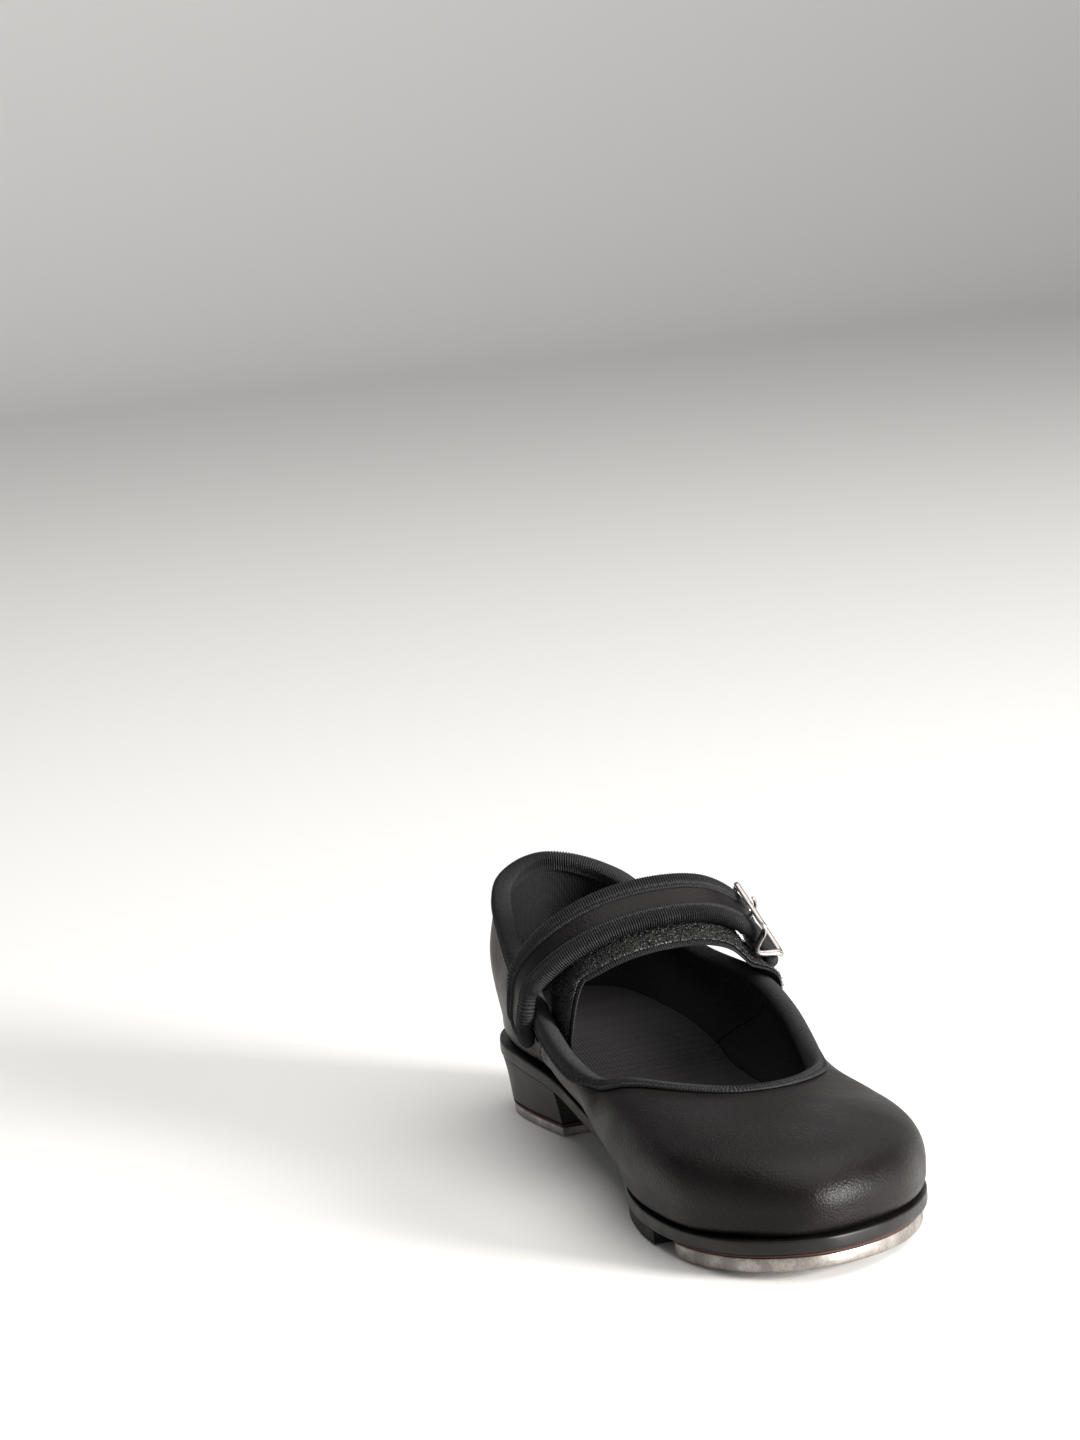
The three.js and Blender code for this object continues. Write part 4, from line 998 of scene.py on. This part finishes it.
def make_buckle():
    ring = buckle_outline()
    t = unit(np.roll(ring, -1, 0) - np.roll(ring, 1, 0))
    out = np.stack([t[:, 1], -t[:, 0]], -1)
    b = BUCKLE_BAR / 2
    # bar section: flat back, rounded shoulders and a fine groove inside the outer edge
    section = np.array([(b - 0.12, -0.72), (b, -0.5), (b + 0.03, 0.1), (b - 0.1, 0.5),
                        (b - 0.4, 0.76), (b - 0.62, 0.78), (b - 0.72, 0.66), (b - 0.88, 0.66),
                        (b - 0.98, 0.82), (0, 0.95), (-b + 0.5, 0.84), (-b + 0.14, 0.55),
                        (-b, 0.1), (-b + 0.02, -0.5), (-b + 0.14, -0.72), (0, -0.78)])
    xy = ring[:, None, :] + out[:, None, :] * section[None, :, :1]
    z = rail_height(ring[:, 0])[:, None] + section[None, :, 1]
    rim = loft(at_buckle(np.concatenate([xy, z[..., None]], -1)), closed=True)
    y = BUCKLE_INNER / 2 + 0.4
    a = circle(20)
    bar = np.stack([np.stack([BAR_R * np.cos(a), np.full(20, v), BAR_R * np.sin(a) + BAR_Z], 1)
                    for v in (-y, y)])
    piece("buckle_frame_plated", gather([rim, loft(at_buckle(bar))]), NICKEL,
          ["buckle_frame"], "closing_strap", sharp=50)


def make_tongue():
    """Eye round the centre bar, and a pin that tapers to a blunt tip over the far bar."""
    inner, outer = BAR_R + 0.3, BAR_R + 0.95
    mid, thick = (inner + outer) / 2, (outer - inner) / 2
    a = circle(40)[:, None]
    c = circle(16)
    r = mid + thick * np.cos(c)
    eye = np.stack([r * np.cos(a), np.sin(c) * 0.95 + 0 * a, BAR_Z + r * np.sin(a)], -1)
    line = [[-0.9, 0, BAR_Z + 1.0], [-1.6, 0, BAR_Z + 2.2], [-2.6, 0, -1.2], [-3.6, 0, 0.6],
            [-5.0, 0, 2.2], [-6.6, 0, 3.1], [-8.2, 0, 3.35], [-9.6, 0, 3.25]]
    t = np.linspace(0, 1, 60)
    p = catmull(line, t, False)
    along = unit(np.gradient(p, axis=0))
    up = np.stack([-along[:, 2], np.zeros(60), along[:, 0]], -1)
    size = 0.74 - 0.12 * t
    size[-5:] *= np.array([0.98, 0.93, 0.8, 0.55, 0.15])
    pin = (p[:, None, :] + size[:, None, None] * (np.sin(c)[None, :, None] * up[:, None, :] * 0.85
           + np.cos(c)[None, :, None] * np.array([0.0, 1.0, 0.0])))
    piece("buckle_tongue_plated",
          gather([loft(at_buckle(eye), closed=True), loft(at_buckle(pin))]), NICKEL,
          ["buckle_tongue"], "tongue", sharp=50)


# ---------------- bottom
TOE_SCREWS = ((-30, -158), (-16, -190), (24, -166))
HEEL_SCREWS = ((-15, -18), (15, -18), (0, 20))
NAILS = ((-10, 12), (10, 12), (-10, -12), (10, -12))
TOE_REACH, HEEL_REACH = 7.0, 12.0
CORNERS = ((-1, -1), (1, -1), (1, 1), (-1, 1))


def tap_lift(y):
    return 3.4 * np.clip((TOE_FLAT_Y - y) / 37, 0, 1) ** 1.4


def moved(curve, d, n=720):
    """Outline of a closed plan curve, moved out by d."""
    t = np.arange(n) / n
    p = curve(t)
    tan = curve(t + 0.002) - curve(t - 0.002)
    return p + unit(np.stack([tan[:, 1], -tan[:, 0]], -1)) * d


def sole_curve(t):
    return catmull(SOLE, t)


def levels(outline, y0, y1, n, cut_in=0.0, corner=0.0):
    """y values over the outline between two limits, closer together at its rounded ends."""
    low, high = outline[:, 1].min() + 0.02, outline[:, 1].max() - 0.02
    a, b = max(y0 + cut_in, low), min(y1 - cut_in, high)
    t = np.linspace(0, 1, n)
    if a == low and (b == high or corner):
        t = (1 - np.cos(math.pi * t)) / 2
    elif a == low:
        t = 1 - np.cos(math.pi / 2 * t)
    elif b == high:
        t = np.sin(math.pi / 2 * t)
    return a + (b - a) * t


def sides(outline, ys):
    """x of the outline's two sides at every y."""
    i, j = int(np.argmin(outline[:, 1])), int(np.argmax(outline[:, 1]))
    ring = np.roll(outline, -i, 0)
    k = (j - i) % len(outline)
    one = ring[:k + 1]
    two = np.vstack([ring[k:], ring[:1]])[::-1]
    x1 = np.interp(ys, one[:, 1], one[:, 0])
    x2 = np.interp(ys, two[:, 1], two[:, 0])
    return np.minimum(x1, x2), np.maximum(x1, x2)


def chain(curve, d, y0, y1, n, cut_in=0.0, corner=0.0):
    """Loop of plan points: up the left side and back down the right, corners at y1 rounded."""
    outline = moved(curve, d)
    ys = levels(outline, y0, y1, n, cut_in, corner)
    left, right = sides(outline, ys)
    if corner:
        k = np.clip(1 - (ys[-1] - ys) / corner, 0, 1)
        turn = corner * (1 - np.sqrt(1 - k ** 2))
        left, right = left + turn, right - turn
    return np.concatenate([np.stack([left, ys], -1), np.stack([right, ys], -1)[::-1]])


def slab(curve, d, y0, y1, n, rings, corner=0.0):
    """Closed plate from (inset, height function) rings, lowest first."""
    sections = []
    for inset, height in rings:
        xy = chain(curve, d - inset, y0, y1, n, inset, corner)
        sections.append(np.concatenate([xy, height(xy[:, 1])[:, None]], 1))
    return loft(np.array(sections))


def above(base, rise):
    return lambda y: base(y) + rise


def screw_hole(x, y, z0, reach):
    return lathe([(3.0, z0 - 2.5), (3.0, z0 + 0.7), (1.5, z0 + 2.2), (1.5, z0 + reach + 0.3)],
                 (x, y, 0), 24)


def toe_holes():
    return [screw_hole(x, y, float(tap_lift(y)) + 0.2, TOE_REACH) for x, y in TOE_SCREWS]


def heel_holes():
    return [screw_hole(x, y, 0.2, HEEL_REACH) for x, y in HEEL_SCREWS]


def nail_holes():
    return [lathe([(0.9, float(bed(y)) - 13.5), (0.9, float(bed(y)) + 2)], (x, y, 0), 12)
            for x, y in NAILS]


def make_outsole():
    rings = [(1.2, -4.0), (0.4, -3.96), (0.12, -3.8), (0.03, -3.4), (0.0, -2.6), (0.0, -1.6),
             (0.04, -0.6), (0.1, -0.3), (0.28, -0.1), (0.5, -0.02), (0.9, 0.0)]
    body = slab(sole_curve, 0, -FAR, FAR, 260, [(d, above(bed, h)) for d, h in rings])
    piece("outsole_edge", carve(body, toe_holes() + nail_holes()), SOLE_MAT, ["outsole"],
          sharp=50)


def make_pad():
    """Rubber half sole with ribs across its underside."""
    def ribbed(y):
        wave = np.abs((y / PAD_RIB) % 1.0 - 0.5) * 2
        return bed(y) - 8.7 + 0.75 * smooth(0.3, 0.62, wave)

    rings = [(0.9, ribbed), (0.25, above(ribbed, 0.08)), (0.0, above(ribbed, 0.4)),
             (0.0, above(bed, -4.6)), (0.3, above(bed, -SOLE_T - GAP))]
    piece("pad_ribbed", slab(sole_curve, -0.8, PAD_FRONT_Y, PAD_BACK_Y, 330, rings), PAD_MAT,
          ["forefoot_rubber_pad"], sharp=30)


def make_tap(place, tap, board, base, top, holes, corner):
    """Metal tap with rounded edges from base to top, and the fibreboard above it."""
    rings = [(1.5, base), (0.75, above(base, 0.1)), (0.25, above(base, 0.45)),
             (0.0, above(base, 1.0)), (0.0, above(top, -0.5)), (0.15, above(top, -0.15)),
             (0.5, top)]
    piece(f"{place}_tap_plate", carve(slab(sole_curve, *tap, 150, rings, corner), holes), TAP_MAT,
          [f"{place}_tap"], sharp=45)
    rings = [(0.15, above(top, GAP)), (0, above(top, GAP + 0.15)),
             (0, above(top, GAP + BOARD_T - 0.15)), (0.15, above(top, GAP + BOARD_T))]
    piece(f"{place}_tap_board_edge", carve(slab(sole_curve, *board, 150, rings, corner), holes),
          BOARD_MAT, [f"{place}_tap_board"])


def make_taps():
    make_tap("toe", (-1.6, -FAR, TAP_BACK_Y), (-1.2, -FAR, TAP_BACK_Y), tap_lift,
             above(bed, -TAP_TOP_DROP), toe_holes(), TAP_CORNER)
    make_tap("heel", (-3.4, BREAST_Y + 1.0, FAR), (-3.1, BREAST_Y + 0.8, FAR), np.zeros_like,
             above(np.zeros_like, HEEL_TAP_T), heel_holes(), 0.0)


def make_heel():
    """Heel block, slightly waisted between the tap board and the seat."""
    z0 = HEEL_TAP_T + 2 * GAP + BOARD_T
    sections = []
    for k, d in ((0, 1.2), (0.004, 0.5), (0.02, 0.1), (0.05, 0), (0.2, 0.1), (0.4, 0.25),
                 (0.6, 0.28), (0.8, 0.16), (0.93, 0.0), (0.965, 0.0), (0.99, 0.12), (1, 0.6)):
        low = chain(sole_curve, -2.965 - d, BREAST_Y + 0.6, FAR, 150, min(d, 0.6))
        high = chain(sole_curve, -0.5 - d, BREAST_Y, FAR, 150, min(d, 0.6))
        xy = low + (high - low) * k
        top = bed(high[:, 1]) - SOLE_T - GAP
        z = z0 + (top - z0) * k
        sections.append(np.concatenate([xy, z[:, None]], 1))
    body = carve(loft(np.array(sections)), heel_holes() + nail_holes())
    piece("heel_block_body", body, HEEL_MAT, ["heel_block"], sharp=45)


def make_screws():
    """Cross-recessed countersunk screws with a fine thread."""
    for group, spots, reach in (("toe", TOE_SCREWS, TOE_REACH), ("heel", HEEL_SCREWS, HEEL_REACH)):
        for i, (x, y) in enumerate(spots):
            z0 = 0.2 + (float(tap_lift(y)) if group == "toe" else 0.0)
            head = [(2.35, 0.0), (2.6, 0.1), (2.7, 0.3), (2.62, 0.5), (1.25, 1.9)]
            turns = np.arange(2.2, reach - 1.3, 0.35)
            shaft = [(1.24 if j % 2 else 0.98, h) for j, h in enumerate(turns)]
            body = lathe([*head, *shaft, (0.9, reach - 1.0), (0.3, reach)], (x, y, z0), 28)
            turn = RNG.uniform(0, math.pi / 2)
            c, sn = math.cos(turn), math.sin(turn)
            axes = np.array([[c, sn, 0], [-sn, c, 0], [0, 0, 1]])
            cross = []
            for a, b in ((1.6, 0.34), (0.34, 1.6)):
                box = np.array([[[cx * a, cy * b, z] for cx, cy in CORNERS] for z in (-0.5, 1.1)])
                box[1, :, 0 if a > b else 1] *= 0.35
                cross.append(capped(box @ axes + np.array([x, y, z0])))
            piece(f"{group}_screw_{i + 1}_cross", carve(body, cross), SCREW_MAT,
                  [f"{group}_tap_screw_{i + 1}"], sharp=35)


def make_sock():
    """Textile sock over the footbed, raised over the heel pad."""
    def low(y):
        return bed(y) + LIFT + INSOLE_T + GAP + 1.9 * smooth(-52, -40, y)

    rings = [(0.25, low), (0.0, above(low, 0.2)), (0.0, above(low, 0.8)), (0.12, above(low, 1.0)),
             (0.5, above(low, 1.1))]
    piece("sock_liner_cloth", slab(feather, -1.2, -FAR, FAR, 200, rings), SOCK_CLOTH,
          ["sock_liner"], sharp=50)


# ---------------- room, light and camera
FLOOR_GAP = 0.0001        # metres, so that the floor and the taps' faces don't share a plane


def make_floor():
    """Pale floor that curves up into a low pale wall behind."""
    paint = Surface("floor_paint", (0.88, 0.868, 0.85), 0.6, Specular_IOR_Level=0.25)
    profile = [(-3.0, 0.0), (2.2, 0.0)]
    profile += [(2.2 + 0.8 * math.sin(a), 0.8 - 0.8 * math.cos(a))
                for a in np.radians(np.arange(6, 91, 6))]
    verts = [(x, y, z - FLOOR_GAP) for x in (-5, 5) for y, z in profile]
    n = len(profile)
    floor = new_object("floor", (verts, [(i, n + i, n + i + 1, i + 1) for i in range(n - 1)]))
    floor.data.polygons.foreach_set("use_smooth", [True] * (n - 1))
    floor.data.materials.append(paint.mat)


def area_light(name, place, aim, size, watts, colour):
    data = bpy.data.lights.new(name, "AREA")
    data.shape = "RECTANGLE"
    data.size, data.size_y = size
    data.energy = watts
    data.color = colour
    obj = bpy.data.objects.new(name, data)
    obj.location = place
    obj.rotation_euler = (Vector(aim) - Vector(place)).to_track_quat("-Z", "Y").to_euler()
    bpy.context.scene.collection.objects.link(obj)


def make_light():
    world = bpy.data.worlds.new("studio")
    world.use_nodes = True
    tree = world.node_tree
    height = tree.nodes.new("ShaderNodeSeparateXYZ")
    tree.links.new(tree.nodes.new("ShaderNodeTexCoord").outputs["Generated"], height.inputs[0])
    glow = ramp(tree, height.outputs["Z"], (0.80, 0.81, 0.82), (0.10, 0.10, 0.102), 0.16, 0.42)
    tree.links.new(glow, tree.nodes["Background"].inputs["Color"])
    bpy.context.scene.world = world
    area_light("ceiling", (0.3, -0.1, 1.6), (0, -0.05, 0), (2.6, 2.2), 37, (1.0, 0.985, 0.965))
    area_light("toe_key", (0.85, -1.17, 0.33), (0, -0.19, 0.03), (0.46, 0.46), 50,
               (1.0, 0.99, 0.975))
    bpy.context.scene.view_settings.view_transform = "Standard"


VIEW_FROM = -20.8         # degrees round from straight in front of the toe
VIEW_UP = 10.26
VIEW_ROLL = 4.0
VIEW_AT = Vector((0.0, -0.09, 0.03))
VIEW_DISTANCE = 1.3421
VIEW_RIGHT, VIEW_ABOVE = 0.04857, -0.10585    # how far the target stands off the lens's axis


def make_camera():
    a, e, roll = (math.radians(v) for v in (VIEW_FROM, VIEW_UP, VIEW_ROLL))
    back = Vector((math.sin(a) * math.cos(e), -math.cos(a) * math.cos(e), math.sin(e)))
    level = Vector((math.cos(a), math.sin(a), 0))
    upright = back.cross(level)
    right = level * math.cos(roll) - upright * math.sin(roll)
    up = level * math.sin(roll) + upright * math.cos(roll)
    place = VIEW_AT + back * VIEW_DISTANCE - right * VIEW_RIGHT - up * VIEW_ABOVE
    data = bpy.data.cameras.new("camera")
    data.sensor_fit = "HORIZONTAL"
    data.sensor_width = 36
    data.lens = 150
    data.clip_start = 0.01
    data.clip_end = 20
    camera = bpy.data.objects.new("camera", data)
    camera.matrix_world = (Matrix.Translation(place)
                           @ Matrix((right, up, back)).transposed().to_4x4())
    bpy.context.scene.collection.objects.link(camera)
    bpy.context.scene.camera = camera


make_upper()
make_seams()
make_binding()
make_strap()
make_hooks()
make_loop_strap()
make_buckle()
make_tongue()
make_outsole()
make_pad()
make_taps()
make_heel()
make_screws()
make_sock()
for node, material in HIDDEN.items():
    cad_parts[node].data.materials.clear()
    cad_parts[node].data.materials.append(material)
make_floor()
make_light()
make_camera()
